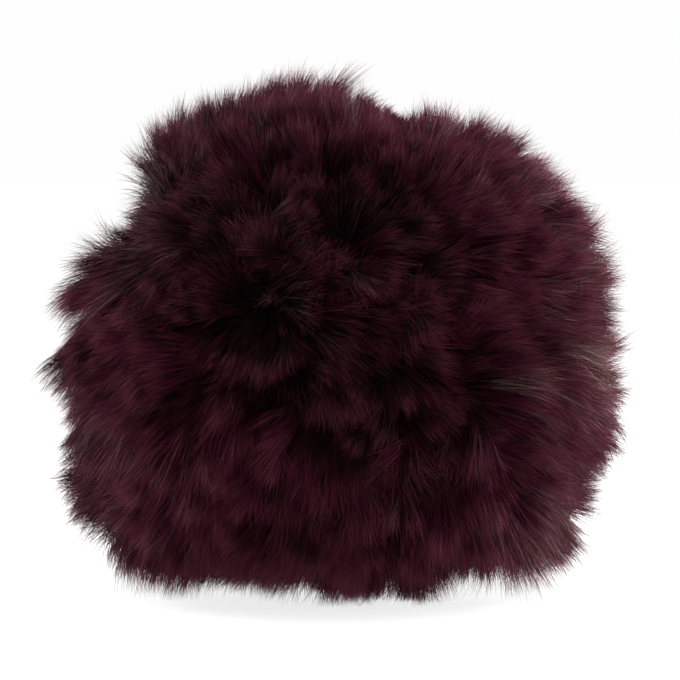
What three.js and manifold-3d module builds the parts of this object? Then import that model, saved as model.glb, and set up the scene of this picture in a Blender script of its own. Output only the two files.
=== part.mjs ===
// Furry windscreen: a ball basket for a short microphone inside a long-pile fur jacket.
//
// Frame (millimetres): +Z up, -Y towards the sound source, +Y towards the handle end.
// The origin is the middle of the flat patch of fur that the ball rests on.
// The basket's axis runs along Y at height AXIS_HEIGHT. Every piece is modelled about that axis,
// in a group that stands at that height.

import * as THREE from 'three';
import { mergeVertices } from 'three/addons/utils/BufferGeometryUtils.js';
import Module from 'manifold-3d';

const wasm = await Module();
wasm.setup();

// ---------------------------------------------------------------- driving dimensions

const AXIS_HEIGHT = 66;          // resting plane to the basket's axis
const GAP = 0.3;                 // gap between pieces that touch
const SLIDE_GAP = 0.15;          // radial play between the spigot and its socket

// ball basket
const BASKET_RADIUS = 50;
const CAGE_WALL = 2.2;
const CAGE_BAR_WIDTH = 2.4;
const CAGE_EDGE_WIDTH = 2.9;     // ring at the open edge of each half
const CAGE_RIBS = 8;
const FRONT_RING_ANGLES = [20, 37, 54, 71];       // from the front pole, degrees
const REAR_RING_ANGLES = [48, 65];                // from the rear pole, degrees
const BOSS_RADIUS = 5;
const BOSS_RECESS = 0.1;         // the boss stands this far below the ribs
const FRONT_RIB_START = 2;       // degrees from the front pole, inside the boss
const RIB_EDGE_INSET = 0.5;      // degrees that the ribs stop short of the edge's flat face
const COLLAR_SEAT_INSET = 1;     // degrees outside the collar's hole: the cage's seat ring,
const REAR_RIB_INSET = 2;        // the start of its ribs,
const REAR_GAUZE_INSET = 3;      // and the start of the gauze
const COLLAR_SEAT_WIDTH = 6;     // degrees
const GAUZE_THICKNESS = 0.6;
const HOOP_WIDTH = 3.4;
const HOOP_THICKNESS = 1.4;
const HOOP_CLEARANCE = 0.05;     // hoop to the flat facet of the gauze beside its edge

// joint between the two halves
const RIM_WIDTH = 5;
const RIM_WALL = 4.6;
const RIM_CHAMFER = 1;
const SPIGOT_WALL = 1.6;
const SOCKET_FLOOR = 0.5;        // wall behind the spigot's end
const SNAP_COUNT = 3;
const SNAP_WIDTH = 7;
const SNAP_LENGTH = 1.4;
const SNAP_HEIGHT = 0.15;
const GASKET_THICKNESS = 1;
const GASKET_WIDTH = 1.4;

// collar, microphone gland and its clamping plate
const COLLAR_RADIUS = 22;
const COLLAR_FLANGE_RADIUS = 27.5;
const COLLAR_FLANGE = 2;
const COLLAR_LIP_RADIUS = 25;
const COLLAR_LIP = 3;
const COLLAR_DEPTH = 8;          // how far the collar reaches into the basket
const COLLAR_FLOOR = 3;
const GROOVE_WIDTH = 8;          // groove that the jacket's hem sits in
const GLAND_BORE_RADIUS = 9.6;
const GLAND_WALL = 3.6;
const GLAND_INNER_LENGTH = 9;    // soft sleeve in front of the collar's floor
const GLAND_FLANGE = 2;
const GLAND_RIB_HEIGHT = 0.6;
const GLAND_RIBS = 2;
const GLAND_RIB_SLOPE = 2;       // half of a rib's width where it starts
const GLAND_CHAMFER = 1.4;       // widened entry at both ends
const GLAND_SETBACK = 1;         // the sleeve ends this far inside the collar's rear face
const PLATE_RADIUS = 19.5;
const PLATE_THICKNESS = 2.4;
const SCREW_COUNT = 4;
const SCREW_CIRCLE_RADIUS = 16.4;
const SCREW_RADIUS = 1;
const SCREW_HEAD_RADIUS = 1.9;
const SCREW_HEAD_HEIGHT = 1.2;
const SCREW_CLEARANCE = 0.2;
const SCREW_LENGTH = 6.4;
const CROSS_LENGTH = 2.4;
const CROSS_WIDTH = 0.5;
const CROSS_DEPTH = 0.6;

// fur jacket
const JACKET_CLEARANCE = 1;      // backing cloth to basket
const JACKET_HALF_WIDTH = 72;
const JACKET_TOP = 68.5;         // above the axis
const JACKET_BOTTOM = 69;        // below the axis, before it is pressed flat
const JACKET_FRONT = 71;
const JACKET_BACK = 63;
const TOP_SQUARENESS = 2.05;
const BOTTOM_SQUARENESS = 3;     // the lower half slumps outwards
const GORE_COUNT = 4;
const FIRST_SEAM_ANGLE = 55;     // degrees, about the basket's axis from +X
const GORE_REAR = 38;            // where the gores end and the gathered back panel starts
const HEM_THICKNESS = 0.9;
const HEM_HEIGHT = 3.2;
const ELASTIC_HEIGHT = 1.2;

// soft swellings of the pile: a direction, how far it stands out, and how wide it is
const SWELLINGS = [
  { towards: new THREE.Vector3(-0.42, -0.35, 0.84), height: 4, spread: 0.42 },
  { towards: new THREE.Vector3(0.75, -0.3, 0.35), height: 2, spread: 0.5 },
  { towards: new THREE.Vector3(-0.8, -0.3, -0.3), height: 2, spread: 0.5 },
];

const SEGMENTS = 24;             // round pieces
const SMALL_SEGMENTS = 10;       // screws
const ARC_STEPS = 6;             // curved bars and domes, from pole to edge
const ROOM_STEPS = 12;           // the room inside the jacket, from pole to edge
const ENVELOPE_SEGMENTS = 36;    // the fur's outside
const ENVELOPE_RINGS = 20;
const OVERRUN = 1;               // cutters reach this far past what they cut

// ---------------------------------------------------------------- materials

function finish(color, roughness, metalness = 0) {
  return new THREE.MeshStandardMaterial({ color, roughness, metalness });
}

const fur = finish(0x3a1019, 0.9);
const hemTape = finish(0x241015, 0.8);
const elasticWeb = finish(0x17090d, 0.75);
const cagePlastic = finish(0x1b1b1d, 0.45);
const rimPlastic = finish(0x232325, 0.5);
const gauzeCloth = finish(0x2c2c2e, 0.85);
const rubber = finish(0x141414, 0.8);
const steel = finish(0x9a9a98, 0.35, 1);

// ---------------------------------------------------------------- geometry helpers

const radians = THREE.MathUtils.degToRad;

// A closed solid for cutting and joining, from any closed geometry.
function toSolid(geometry) {
  const bare = geometry.clone();
  bare.deleteAttribute('normal');
  bare.deleteAttribute('uv');
  const merged = mergeVertices(bare, 1e-4);
  return new wasm.Manifold(new wasm.Mesh({
    numProp: 3,
    vertProperties: new Float32Array(merged.attributes.position.array),
    triVerts: new Uint32Array(merged.index.array),
  }));
}

function toGeometry(solid) {
  const mesh = solid.getMesh();
  const geometry = new THREE.BufferGeometry();
  geometry.setAttribute('position', new THREE.BufferAttribute(mesh.vertProperties, 3));
  geometry.setIndex(new THREE.BufferAttribute(mesh.triVerts, 1));
  geometry.computeVertexNormals();
  return geometry;
}

function signedArea(outline) {
  return THREE.ShapeUtils.area(outline);
}

// A body of revolution about Y from a closed outline of [radius, along] corners.
function ring(corners, segments = SEGMENTS) {
  const outline = corners.map(([radius, along]) => new THREE.Vector2(radius, along));
  if (signedArea(outline) < 0) {
    outline.reverse();
  }
  outline.push(outline[0].clone());
  return new THREE.LatheGeometry(outline, segments);
}

// A solid disc or rod about Y between two stations.
function rod(radius, from, to, segments = SEGMENTS) {
  const geometry = new THREE.CylinderGeometry(radius, radius, to - from, segments);
  geometry.translate(0, (from + to) / 2, 0);
  return geometry;
}

// Corners along a circle about the basket's centre; the angle is measured from the rear pole.
function arcCorners(radius, fromDegrees, toDegrees, steps) {
  const corners = [];
  for (let i = 0; i <= steps; i += 1) {
    const angle = radians(THREE.MathUtils.lerp(fromDegrees, toDegrees, i / steps));
    corners.push([radius * Math.sin(angle), radius * Math.cos(angle)]);
  }
  return corners;
}

function mirrored(corners) {
  return corners.map(([radius, along]) => [radius, -along]);
}

function alongAt(radius, sphereRadius) {
  return Math.sqrt(sphereRadius * sphereRadius - radius * radius);
}

const group = new THREE.Group();
const ball = new THREE.Group();
ball.position.set(0, 0, AXIS_HEIGHT);
group.add(ball);

function place(name, geometry, material) {
  const mesh = new THREE.Mesh(geometry, material);
  mesh.name = name;
  ball.add(mesh);
  return mesh;
}

// ---------------------------------------------------------------- sizes that follow

const cageInner = BASKET_RADIUS - CAGE_WALL;
const rimFace = GASKET_THICKNESS / 2 + GAP;
const rimBack = rimFace + RIM_WIDTH;
const spigotLength = rimBack - SOCKET_FLOOR - GAP;
const cageEdge = rimBack + GAP;
const socketRadius = BASKET_RADIUS - GASKET_WIDTH - 2 * GAP;
const beadRadius = socketRadius * Math.cos(Math.PI / SEGMENTS) - SLIDE_GAP;
const spigotRadius = beadRadius - SNAP_HEIGHT;
const rimInner = BASKET_RADIUS - RIM_WALL;
const gauzeOuter = cageInner - 2 * GAP;
const gauzeInner = gauzeOuter - GAUZE_THICKNESS;
const gauzeEdgeAngle = THREE.MathUtils.radToDeg(Math.acos(cageEdge / gauzeOuter));
const edgeAngle = THREE.MathUtils.radToDeg(Math.acos(cageEdge / BASKET_RADIUS));

const collarHole = COLLAR_RADIUS + GAP;
const cageHoleAngle = THREE.MathUtils.radToDeg(Math.asin(collarHole / cageInner));
const flangeFront = alongAt(collarHole, BASKET_RADIUS) + GAP;
const flangeBack = flangeFront + COLLAR_FLANGE;
const collarFront = flangeFront - COLLAR_DEPTH;
const lipFront = flangeBack + GROOVE_WIDTH;
const lipBack = lipFront + COLLAR_LIP;
const collarFloorBack = collarFront + COLLAR_DEPTH + COLLAR_FLOOR;
const glandOuter = GLAND_BORE_RADIUS + GLAND_WALL;
const glandFlangeBack = collarFloorBack + GAP + GLAND_FLANGE;
const plateFront = glandFlangeBack + GAP;
const plateBack = plateFront + PLATE_THICKNESS;
const screwHole = SCREW_RADIUS + SCREW_CLEARANCE;
const headHole = SCREW_HEAD_RADIUS + SCREW_CLEARANCE;
const headSeat = plateBack - SCREW_HEAD_HEIGHT - 0.5 * GAP;
const jacketInner = BASKET_RADIUS + JACKET_CLEARANCE;
const farBack = 2 * JACKET_BACK;
const farOut = 2 * JACKET_HALF_WIDTH;

// ---------------------------------------------------------------- ball basket

// One ring of the cage, square to the ball's surface.
function cageRing(angleDegrees) {
  const half = THREE.MathUtils.radToDeg(CAGE_BAR_WIDTH / 2 / BASKET_RADIUS);
  const outer = arcCorners(BASKET_RADIUS, angleDegrees - half, angleDegrees + half, 1);
  const inner = arcCorners(cageInner, angleDegrees + half, angleDegrees - half, 1);
  return outer.concat(inner);
}

// One curved rib of the cage, from one angle to the other, standing in the YZ plane.
function cageRib(fromDegrees, toDegrees, steps) {
  const outer = arcCorners(BASKET_RADIUS, fromDegrees, toDegrees, steps);
  const inner = arcCorners(cageInner, toDegrees, fromDegrees, steps);
  const outline = outer.concat(inner).map(([radius, along]) => new THREE.Vector2(radius, along));
  const shape = new THREE.Shape(outline);
  const geometry = new THREE.ExtrudeGeometry(shape, { depth: CAGE_BAR_WIDTH, bevelEnabled: false });
  geometry.translate(0, 0, -CAGE_BAR_WIDTH / 2);
  return geometry;
}

// The ring at the cage's open edge, with a flat face towards the rim.
function cageEdgeRing() {
  const far = edgeAngle - THREE.MathUtils.radToDeg(CAGE_EDGE_WIDTH / BASKET_RADIUS);
  const outer = [alongAt(cageEdge, BASKET_RADIUS), cageEdge];
  const inner = [alongAt(cageEdge, cageInner), cageEdge];
  const farOuter = arcCorners(BASKET_RADIUS, far, far, 1)[0];
  const farInner = arcCorners(cageInner, far, far, 1)[0];
  return [outer, farOuter, farInner, inner];
}

function ribbedCage(ringOutlines, ribFrom, extraSolids) {
  let cage = toSolid(ring(cageEdgeRing()));
  for (const outline of ringOutlines) {
    cage = cage.add(toSolid(ring(outline)));
  }
  for (let i = 0; i < CAGE_RIBS; i += 1) {
    const rib = cageRib(ribFrom, edgeAngle - RIB_EDGE_INSET, ARC_STEPS);
    rib.rotateY(2 * Math.PI * (i + 0.5) / CAGE_RIBS);
    cage = cage.add(toSolid(rib));
  }
  for (const extra of extraSolids) {
    cage = cage.add(extra);
  }
  return cage;
}

function frontCage() {
  const rings = FRONT_RING_ANGLES.map((angle) => cageRing(angle));
  const boss = toSolid(rod(BOSS_RADIUS, cageInner, BASKET_RADIUS - BOSS_RECESS));
  const cage = ribbedCage(rings, FRONT_RIB_START, [boss]);
  return toGeometry(cage.mirror([0, 1, 0]));
}

function rearCage() {
  const rings = REAR_RING_ANGLES.map((angle) => cageRing(angle));
  const seatFrom = cageHoleAngle + COLLAR_SEAT_INSET;
  const seatTo = seatFrom + COLLAR_SEAT_WIDTH;
  const collarSeat = arcCorners(BASKET_RADIUS, seatFrom, seatTo, 2)
    .concat(arcCorners(cageInner, seatTo, seatFrom, 2));
  rings.push(collarSeat);
  return toGeometry(ribbedCage(rings, cageHoleAngle + REAR_RIB_INSET, []));
}

function gauzeDome(fromDegrees) {
  const outer = arcCorners(gauzeOuter, fromDegrees, gauzeEdgeAngle, ARC_STEPS);
  const inner = arcCorners(gauzeInner, gauzeEdgeAngle, fromDegrees, ARC_STEPS);
  return outer.concat(inner);
}

// Radius of the flat facet beside the edge of the dome's inner wall, at a place along the axis.
function gauzeFacetRadius(along) {
  const [edge, next] = arcCorners(gauzeInner, gauzeEdgeAngle, 0, ARC_STEPS);
  return THREE.MathUtils.mapLinear(along, edge[1], next[1], edge[0], next[0]);
}

// The hoop that holds the edge of the gauze against the cage.
function gauzeHoop() {
  const wide = gauzeFacetRadius(cageEdge + HOOP_WIDTH) - HOOP_CLEARANCE;
  const narrow = wide - HOOP_THICKNESS;
  return [[wide, cageEdge], [wide, cageEdge + HOOP_WIDTH],
    [narrow, cageEdge + HOOP_WIDTH], [narrow, cageEdge]];
}

// ---------------------------------------------------------------- joint between the halves

// Rim of the front half: a band, and a spigot that plugs into the rear half.
function frontRim() {
  const band = [[BASKET_RADIUS, -rimBack], [BASKET_RADIUS, -rimFace], [spigotRadius, -rimFace],
    [spigotRadius, spigotLength], [spigotRadius - SPIGOT_WALL, spigotLength],
    [spigotRadius - SPIGOT_WALL, -rimFace], [rimInner, -rimFace - RIM_CHAMFER],
    [rimInner, -rimBack]];
  let rim = toSolid(ring(band));
  for (let i = 0; i < SNAP_COUNT; i += 1) {
    const bead = new THREE.BoxGeometry(SPIGOT_WALL, SNAP_LENGTH, SNAP_WIDTH);
    const reach = alongAt(SNAP_WIDTH / 2, beadRadius);
    bead.translate(reach - SPIGOT_WALL / 2, spigotLength - SNAP_LENGTH, 0);
    bead.rotateY(2 * Math.PI * i / SNAP_COUNT);
    rim = rim.add(toSolid(bead));
  }
  return toGeometry(rim);
}

// Rim of the rear half: a band with a socket for the spigot.
function rearRim() {
  const seat = spigotLength + GAP;
  return ring([[BASKET_RADIUS, rimFace], [BASKET_RADIUS, rimBack], [rimInner, rimBack],
    [rimInner, seat], [socketRadius, seat], [socketRadius, rimFace]]);
}

function gasketRing() {
  const half = GASKET_THICKNESS / 2;
  const inner = socketRadius + GAP;
  const outer = inner + GASKET_WIDTH;
  return ring([[outer, -half], [outer, half], [inner, half], [inner, -half]]);
}

// ---------------------------------------------------------------- collar and gland

// The same cutter or piece at each screw.
function atEachScrew(makeGeometry) {
  const copies = [];
  for (let i = 0; i < SCREW_COUNT; i += 1) {
    const geometry = makeGeometry();
    geometry.translate(SCREW_CIRCLE_RADIUS, 0, 0);
    geometry.rotateY(2 * Math.PI * (i + 0.5) / SCREW_COUNT);
    copies.push(geometry);
  }
  return copies;
}

function withScrewHoles(solid, radius, from, to) {
  let drilled = solid;
  for (const cutter of atEachScrew(() => rod(radius, from, to, SMALL_SEGMENTS))) {
    drilled = drilled.subtract(toSolid(cutter));
  }
  return drilled;
}

function collar() {
  const bore = glandOuter + GAP;
  const recess = PLATE_RADIUS + GAP;
  const body = ring([[COLLAR_RADIUS, collarFront], [COLLAR_RADIUS, flangeFront],
    [COLLAR_FLANGE_RADIUS, flangeFront], [COLLAR_FLANGE_RADIUS, flangeBack],
    [COLLAR_RADIUS, flangeBack], [COLLAR_RADIUS, lipFront], [COLLAR_LIP_RADIUS, lipFront],
    [COLLAR_LIP_RADIUS, lipBack], [recess, lipBack], [recess, collarFloorBack],
    [bore, collarFloorBack], [bore, collarFront]]);
  const blindEnd = headSeat - SCREW_LENGTH - GAP;
  return toGeometry(withScrewHoles(toSolid(body), screwHole, blindEnd, lipBack));
}

// Rubber sleeve that grips the microphone, with ribs inside and a flange that the plate clamps.
function gland() {
  const front = collarFront - GLAND_INNER_LENGTH + COLLAR_DEPTH / 2;
  const back = lipBack - GLAND_SETBACK;
  const flangeStart = collarFloorBack + GAP;
  const corners = [[glandOuter, front], [glandOuter, flangeStart], [PLATE_RADIUS, flangeStart],
    [PLATE_RADIUS, glandFlangeBack], [glandOuter, glandFlangeBack], [glandOuter, back],
    [GLAND_BORE_RADIUS + GLAND_CHAMFER, back]];
  const pitch = (back - front) / (GLAND_RIBS + 1);
  for (let i = GLAND_RIBS; i >= 1; i -= 1) {
    const crest = front + pitch * i;
    corners.push([GLAND_BORE_RADIUS, crest + GLAND_RIB_SLOPE]);
    corners.push([GLAND_BORE_RADIUS - GLAND_RIB_HEIGHT, crest]);
    corners.push([GLAND_BORE_RADIUS, crest - GLAND_RIB_SLOPE]);
  }
  corners.push([GLAND_BORE_RADIUS + GLAND_CHAMFER, front]);
  const solid = toSolid(ring(corners));
  return toGeometry(withScrewHoles(solid, screwHole, flangeStart - OVERRUN, plateFront));
}

function clampPlate() {
  const inner = glandOuter + GAP;
  const plate = toSolid(ring([[PLATE_RADIUS, plateFront], [PLATE_RADIUS, plateBack],
    [inner, plateBack], [inner, plateFront]]));
  const back = plateBack + OVERRUN;
  const drilled = withScrewHoles(plate, screwHole, plateFront - OVERRUN, back);
  return toGeometry(withScrewHoles(drilled, headHole, headSeat - GAP / 2, back));
}

// Cylinder head screw with a cross recess. Its head is sunk into the plate.
function screw() {
  const top = headSeat + SCREW_HEAD_HEIGHT;
  const shank = toSolid(rod(SCREW_RADIUS, headSeat - SCREW_LENGTH, headSeat + GAP, SMALL_SEGMENTS));
  const head = toSolid(rod(SCREW_HEAD_RADIUS, headSeat, top, SMALL_SEGMENTS));
  const slot = new THREE.BoxGeometry(CROSS_LENGTH, 2 * CROSS_DEPTH, CROSS_WIDTH);
  slot.translate(0, top, 0);
  const across = new THREE.BoxGeometry(CROSS_WIDTH, 2 * CROSS_DEPTH, CROSS_LENGTH);
  across.translate(0, top, 0);
  return toGeometry(shank.add(head).subtract(toSolid(slot)).subtract(toSolid(across)));
}

// ---------------------------------------------------------------- fur jacket

// Distance from the basket's centre to the tips of the pile in a direction.
function pileRadius(direction) {
  const depth = direction.y < 0 ? JACKET_FRONT : JACKET_BACK;
  const height = direction.z < 0 ? JACKET_BOTTOM : JACKET_TOP;
  const power = direction.z < 0 ? BOTTOM_SQUARENESS : TOP_SQUARENESS;
  const around = Math.hypot(direction.x / JACKET_HALF_WIDTH, direction.y / depth);
  const base = (around ** power + Math.abs(direction.z / height) ** power) ** (-1 / power);
  let extra = 0;
  for (const swelling of SWELLINGS) {
    const angle = direction.angleTo(swelling.towards);
    extra += swelling.height * Math.exp(-((angle / swelling.spread) ** 2));
  }
  return base + extra;
}

// The whole outside of the jacket as a closed body, pressed flat where it rests.
function furEnvelope() {
  const geometry = new THREE.SphereGeometry(1, ENVELOPE_SEGMENTS, ENVELOPE_RINGS);
  const position = geometry.attributes.position;
  const point = new THREE.Vector3();
  for (let i = 0; i < position.count; i += 1) {
    point.fromBufferAttribute(position, i).normalize();
    point.multiplyScalar(pileRadius(point));
    point.z = Math.max(point.z, -AXIS_HEIGHT);
    position.setXYZ(i, point.x, point.y, point.z);
  }
  return toSolid(geometry);
}

// The room inside the jacket: a round front and straight sides, so that it draws off forwards.
function jacketRoom() {
  const corners = [[0, farBack], [jacketInner, farBack]]
    .concat(mirrored(arcCorners(jacketInner, 90, 0, ROOM_STEPS)));
  const outline = corners.map(([radius, along]) => new THREE.Vector2(radius, along));
  outline[outline.length - 1].x = 0;
  return toSolid(new THREE.LatheGeometry(outline.reverse(), SEGMENTS));
}

// A wedge about the Y axis between two seams, drawn in from each seam by half a gap.
function goreWedge(fromDegrees, toDegrees) {
  const middle = radians((fromDegrees + toDegrees) / 2);
  const half = radians((toDegrees - fromDegrees) / 2);
  const reach = 2 * farOut;
  const tip = GAP / 2 / Math.sin(half);
  const corners = [new THREE.Vector2(tip, 0),
    new THREE.Vector2(tip + reach * Math.cos(half), -reach * Math.sin(half)),
    new THREE.Vector2(tip + reach, 0),
    new THREE.Vector2(tip + reach * Math.cos(half), reach * Math.sin(half))];
  const depth = 2 * JACKET_FRONT + GORE_REAR;
  const geometry = new THREE.ExtrudeGeometry(new THREE.Shape(corners), { depth, bevelEnabled: false });
  geometry.rotateX(Math.PI / 2);
  geometry.translate(0, GORE_REAR, 0);
  geometry.rotateY(-middle);
  return toSolid(geometry);
}

function jacketGores(envelope) {
  const names = ['fur_gore_top', 'fur_gore_left', 'fur_gore_bottom', 'fur_gore_right'];
  const shell = envelope.subtract(jacketRoom());
  const step = 360 / GORE_COUNT;
  for (let i = 0; i < GORE_COUNT; i += 1) {
    const from = FIRST_SEAM_ANGLE + i * step;
    place(names[i], toGeometry(shell.intersect(goreWedge(from, from + step))), fur);
  }
}

// Fur panel across the back, gathered in to the hem.
function backPanel(envelope) {
  const hemOuter = COLLAR_RADIUS + GAP + HEM_HEIGHT + GAP;
  const wallRadius = jacketInner - GAP;
  const behindFlange = COLLAR_FLANGE_RADIUS + GAP;
  const thinEdge = wallRadius - HEM_THICKNESS;
  const startAngle = THREE.MathUtils.radToDeg(Math.asin(thinEdge / jacketInner));
  const flangeAngle = THREE.MathUtils.radToDeg(Math.asin(behindFlange / jacketInner));
  const corners = [[wallRadius, alongAt(thinEdge, jacketInner) + HEM_THICKNESS]]
    .concat(arcCorners(jacketInner, startAngle, flangeAngle, ARC_STEPS))
    .concat([[behindFlange, flangeBack + GAP], [hemOuter, flangeBack + GAP],
      [hemOuter, farBack], [farOut, farBack], [farOut, GORE_REAR + GAP],
      [wallRadius, GORE_REAR + GAP]]);
  return toGeometry(toSolid(ring(corners)).intersect(envelope));
}

// Folded tape round the hem, open towards the collar, with the elastic inside it.
function hemBinding() {
  const inner = COLLAR_RADIUS + GAP;
  const outer = inner + HEM_HEIGHT;
  const front = flangeBack + GAP;
  const back = lipFront - GAP;
  return ring([[inner, front], [outer, front], [outer, back], [inner, back],
    [inner, back - HEM_THICKNESS], [outer - HEM_THICKNESS, back - HEM_THICKNESS],
    [outer - HEM_THICKNESS, front + HEM_THICKNESS], [inner, front + HEM_THICKNESS]]);
}

function hemElastic() {
  const inner = COLLAR_RADIUS + 2 * GAP;
  const outer = inner + ELASTIC_HEIGHT;
  const front = flangeBack + HEM_THICKNESS + 2 * GAP;
  const back = lipFront - HEM_THICKNESS - 2 * GAP;
  return ring([[inner, front], [outer, front], [outer, back], [inner, back]]);
}

// ---------------------------------------------------------------- assembly

place('front_cage', frontCage(), cagePlastic);
place('front_gauze', ring(mirrored(gauzeDome(0))), gauzeCloth);
place('front_gauze_hoop', ring(mirrored(gauzeHoop())), rimPlastic);
place('front_rim', frontRim(), rimPlastic);
place('joint_gasket', gasketRing(), rubber);

place('rear_rim', rearRim(), rimPlastic);
place('rear_cage', rearCage(), cagePlastic);
place('rear_gauze', ring(gauzeDome(cageHoleAngle + REAR_GAUZE_INSET)), gauzeCloth);
place('rear_gauze_hoop', ring(gauzeHoop()), rimPlastic);

place('collar', collar(), rimPlastic);
place('microphone_gland', gland(), rubber);
place('gland_plate', clampPlate(), rimPlastic);
atEachScrew(screw).forEach((geometry, i) => place(`plate_screw_${i + 1}`, geometry, steel));

const envelope = furEnvelope();
jacketGores(envelope);
place('fur_back_panel', backPanel(envelope), fur);
place('hem_binding', hemBinding(), hemTape);
place('hem_elastic', hemElastic(), elasticWeb);

export default group;
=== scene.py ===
"""Furry windscreen: the looks of a ball basket for a short microphone in a long-pile fur jacket.

All lengths are in metres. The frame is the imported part's own: +Z up, -Y towards the sound source,
+Y towards the handle end, and the origin in the middle of the patch of fur that the ball rests on.
"""

import math

import bmesh
import bpy
import numpy as np
from mathutils import Matrix, Vector, noise
from mathutils.bvhtree import BVHTree


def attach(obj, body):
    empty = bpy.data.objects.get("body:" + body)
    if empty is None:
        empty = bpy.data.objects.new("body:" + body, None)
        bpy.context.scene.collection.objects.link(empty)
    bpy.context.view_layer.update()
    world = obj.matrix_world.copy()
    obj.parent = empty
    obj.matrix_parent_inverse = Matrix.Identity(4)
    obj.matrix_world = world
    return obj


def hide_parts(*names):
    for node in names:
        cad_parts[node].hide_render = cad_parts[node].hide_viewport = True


bl_info = {
    "name": "Furry Windscreen",
    "version": (1, 0, 0),
    "blender": (4, 5, 0),
    "location": "View3D > Sidebar > Windscreen",
    "description": "Builds a fur-covered ball windscreen around its packed CAD frame",
    "category": "Object",
}

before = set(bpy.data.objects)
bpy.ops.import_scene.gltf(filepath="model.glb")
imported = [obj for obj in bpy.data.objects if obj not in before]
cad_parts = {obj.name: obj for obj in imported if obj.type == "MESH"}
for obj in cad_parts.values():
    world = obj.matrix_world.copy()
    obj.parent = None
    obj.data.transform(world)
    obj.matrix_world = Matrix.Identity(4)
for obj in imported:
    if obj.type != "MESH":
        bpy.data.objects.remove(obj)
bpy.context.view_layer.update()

MM = 0.001
CENTRE = Vector((0, 0, 0.066))           # the middle of the ball basket
GORES = ["fur_gore_top", "fur_gore_left", "fur_gore_bottom", "fur_gore_right"]
BACK_PANEL = "fur_back_panel"
FIRST_SEAM = math.radians(55)            # about the basket's axis, from +X
HEM_ANGLE = math.radians(28.5)           # from the rear pole: where the fur ends at the hem
BACKING_RADIUS = 51.5 * MM
CLOTH_OFF_FLOOR = 1.5 * MM               # the lowest that the fur's cloth comes
BACK_PANEL_ANGLE = math.radians(41.8)    # from the rear pole: where the gores end
HEM_FLARE = (math.radians(31.5), math.radians(36))   # where the cloth spreads from the hem
REAR_FUR_ANGLE = math.radians(62)        # from the rear pole: where the fur starts to lie closer
REACH_AT_HEM = 0.063                     # the fur's outline inside the hem, where there is none
HAIR_LENGTHS = (0.010, 0.042)            # the shortest and the longest
TINT_STRIPS = 64                         # hair colours side by side in the fur's UV map
REARWARDS = np.array([0.0, 1.0, 0.0])

# Outlines of the turned pieces, (radius, along) in millimetres from the ball's centre.
REAR_RIM = [(50, 0.8), (50, 5.8), (45.4, 5.8), (45.4, 5.3), (48, 5.3), (48, 0.8)]
FRONT_RIM = [(50, -5.8), (50, -0.8), (47.3, -0.8), (47.3, 4.6), (46.9, 5), (45.7, 5), (45.7, -0.8),
             (45.4, -1.8), (45.4, -5.8)]
GASKET = [(49.6, -0.45), (49.75, 0), (49.6, 0.45), (48.4, 0.45), (48.25, 0), (48.4, -0.45)]
REAR_HOOP = [(45.35, 6.1), (45.35, 9.5), (43.95, 9.5), (43.95, 6.1)]
COLLAR = [(22, 37.05), (22, 45.05), (27.5, 45.05), (27.5, 47.05), (22, 47.05), (22, 55.05),
          (25, 55.05), (25, 58.05), (19.8, 58.05), (19.8, 48.05), (13.5, 48.05), (13.5, 37.05)]
GLAND = [(13.2, 32.05), (13.2, 48.35), (19.5, 48.35), (19.5, 50.35), (13.2, 50.35), (13.2, 57.05),
         (11, 57.05), (9.6, 55.2), (9.6, 50.7), (9, 48.7), (9.6, 46.7), (9.6, 42.4), (9, 40.4),
         (9.6, 38.4), (9.6, 33.9), (11, 32.05)]
GLAND_PLATE = [(19.5, 50.65), (19.5, 53.05), (13.5, 53.05), (13.5, 50.65)]
HEM_BINDING = [(22.3, 47.35), (25.5, 47.35), (25.5, 54.75), (22.3, 54.75), (22.3, 53.85),
               (24.6, 53.85), (24.6, 48.25), (22.3, 48.25)]
HEM_ELASTIC = [(22.6, 48.55), (23.8, 48.55), (23.8, 53.55), (22.6, 53.55)]
BOSS = [(0.0001, -49.9), (4.4, -49.6), (5, -49.1), (5, -47.8), (0.0001, -47.6)]
SCREW_HEAD = [(0.0001, 51.7), (1.9, 51.7), (1.9, 52.7), (1.65, 52.9), (0.0001, 52.95)]
CLOTH_HEM_OUTSIDE = [(24.9, 49.9), (25.4, 48.6), (27.4, 47.9), (28.4, 47.3), (28.6, 43.4)]
CLOTH_HEM_INSIDE = [(28.1, 43.2), (27.9, 47.0), (27.2, 47.45), (25.2, 47.9), (24.5, 49.9)]
AT_THE_AXIS = 1e-6                       # an outline point nearer than this is on the axis

# Other places, in millimetres: radii of the walls on the ball, or distances along the axis.
CLOTH_OUTSIDE, CLOTH_INSIDE = 51.45, 51.05
GAUZE_OUTSIDE, GAUZE_INSIDE = 47.2, 46.6
GATHERS_FROM = 24.0                      # where the cloth starts to gather towards the hem
SCREW_CIRCLE = 16.4
SCREW_TIP, SCREW_SEAT, SCREW_TOP = 45.3, 51.7, 52.95
PLATE_CUT_START, PLATE_CUT_END = 50, 54
BACK_SEAM = 38.0                         # where the gores meet the back panel

# Degrees from a pole: the front end of the cloth, the edge of the gauze, and its rear opening.
CLOTH_END, GAUZE_EDGE, GAUZE_OPENING = 179.6, 82.3, 31

CAGE_EDGE = math.acos(7.3 / 48.9)        # from a pole to the ring beside the joint
CAGES = {
    "front": {"side": -1.0, "rings": 4, "first_ring": 20, "ring_step": 17, "rib_start": 2},
    "rear": {"side": 1.0, "rings": 3, "first_ring": 31.5, "ring_step": 16.75, "rib_start": 30},
}

# Sewing and weaving, in metres.
TAPE_THICKNESS = 0.35 * MM
STITCH_RADIUS = 0.16 * MM
KNIT_COLUMN, KNIT_LOOP = 0.0011, 0.0008
ELASTIC_CORD, ELASTIC_PICK = 0.0009, 0.0006

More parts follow.
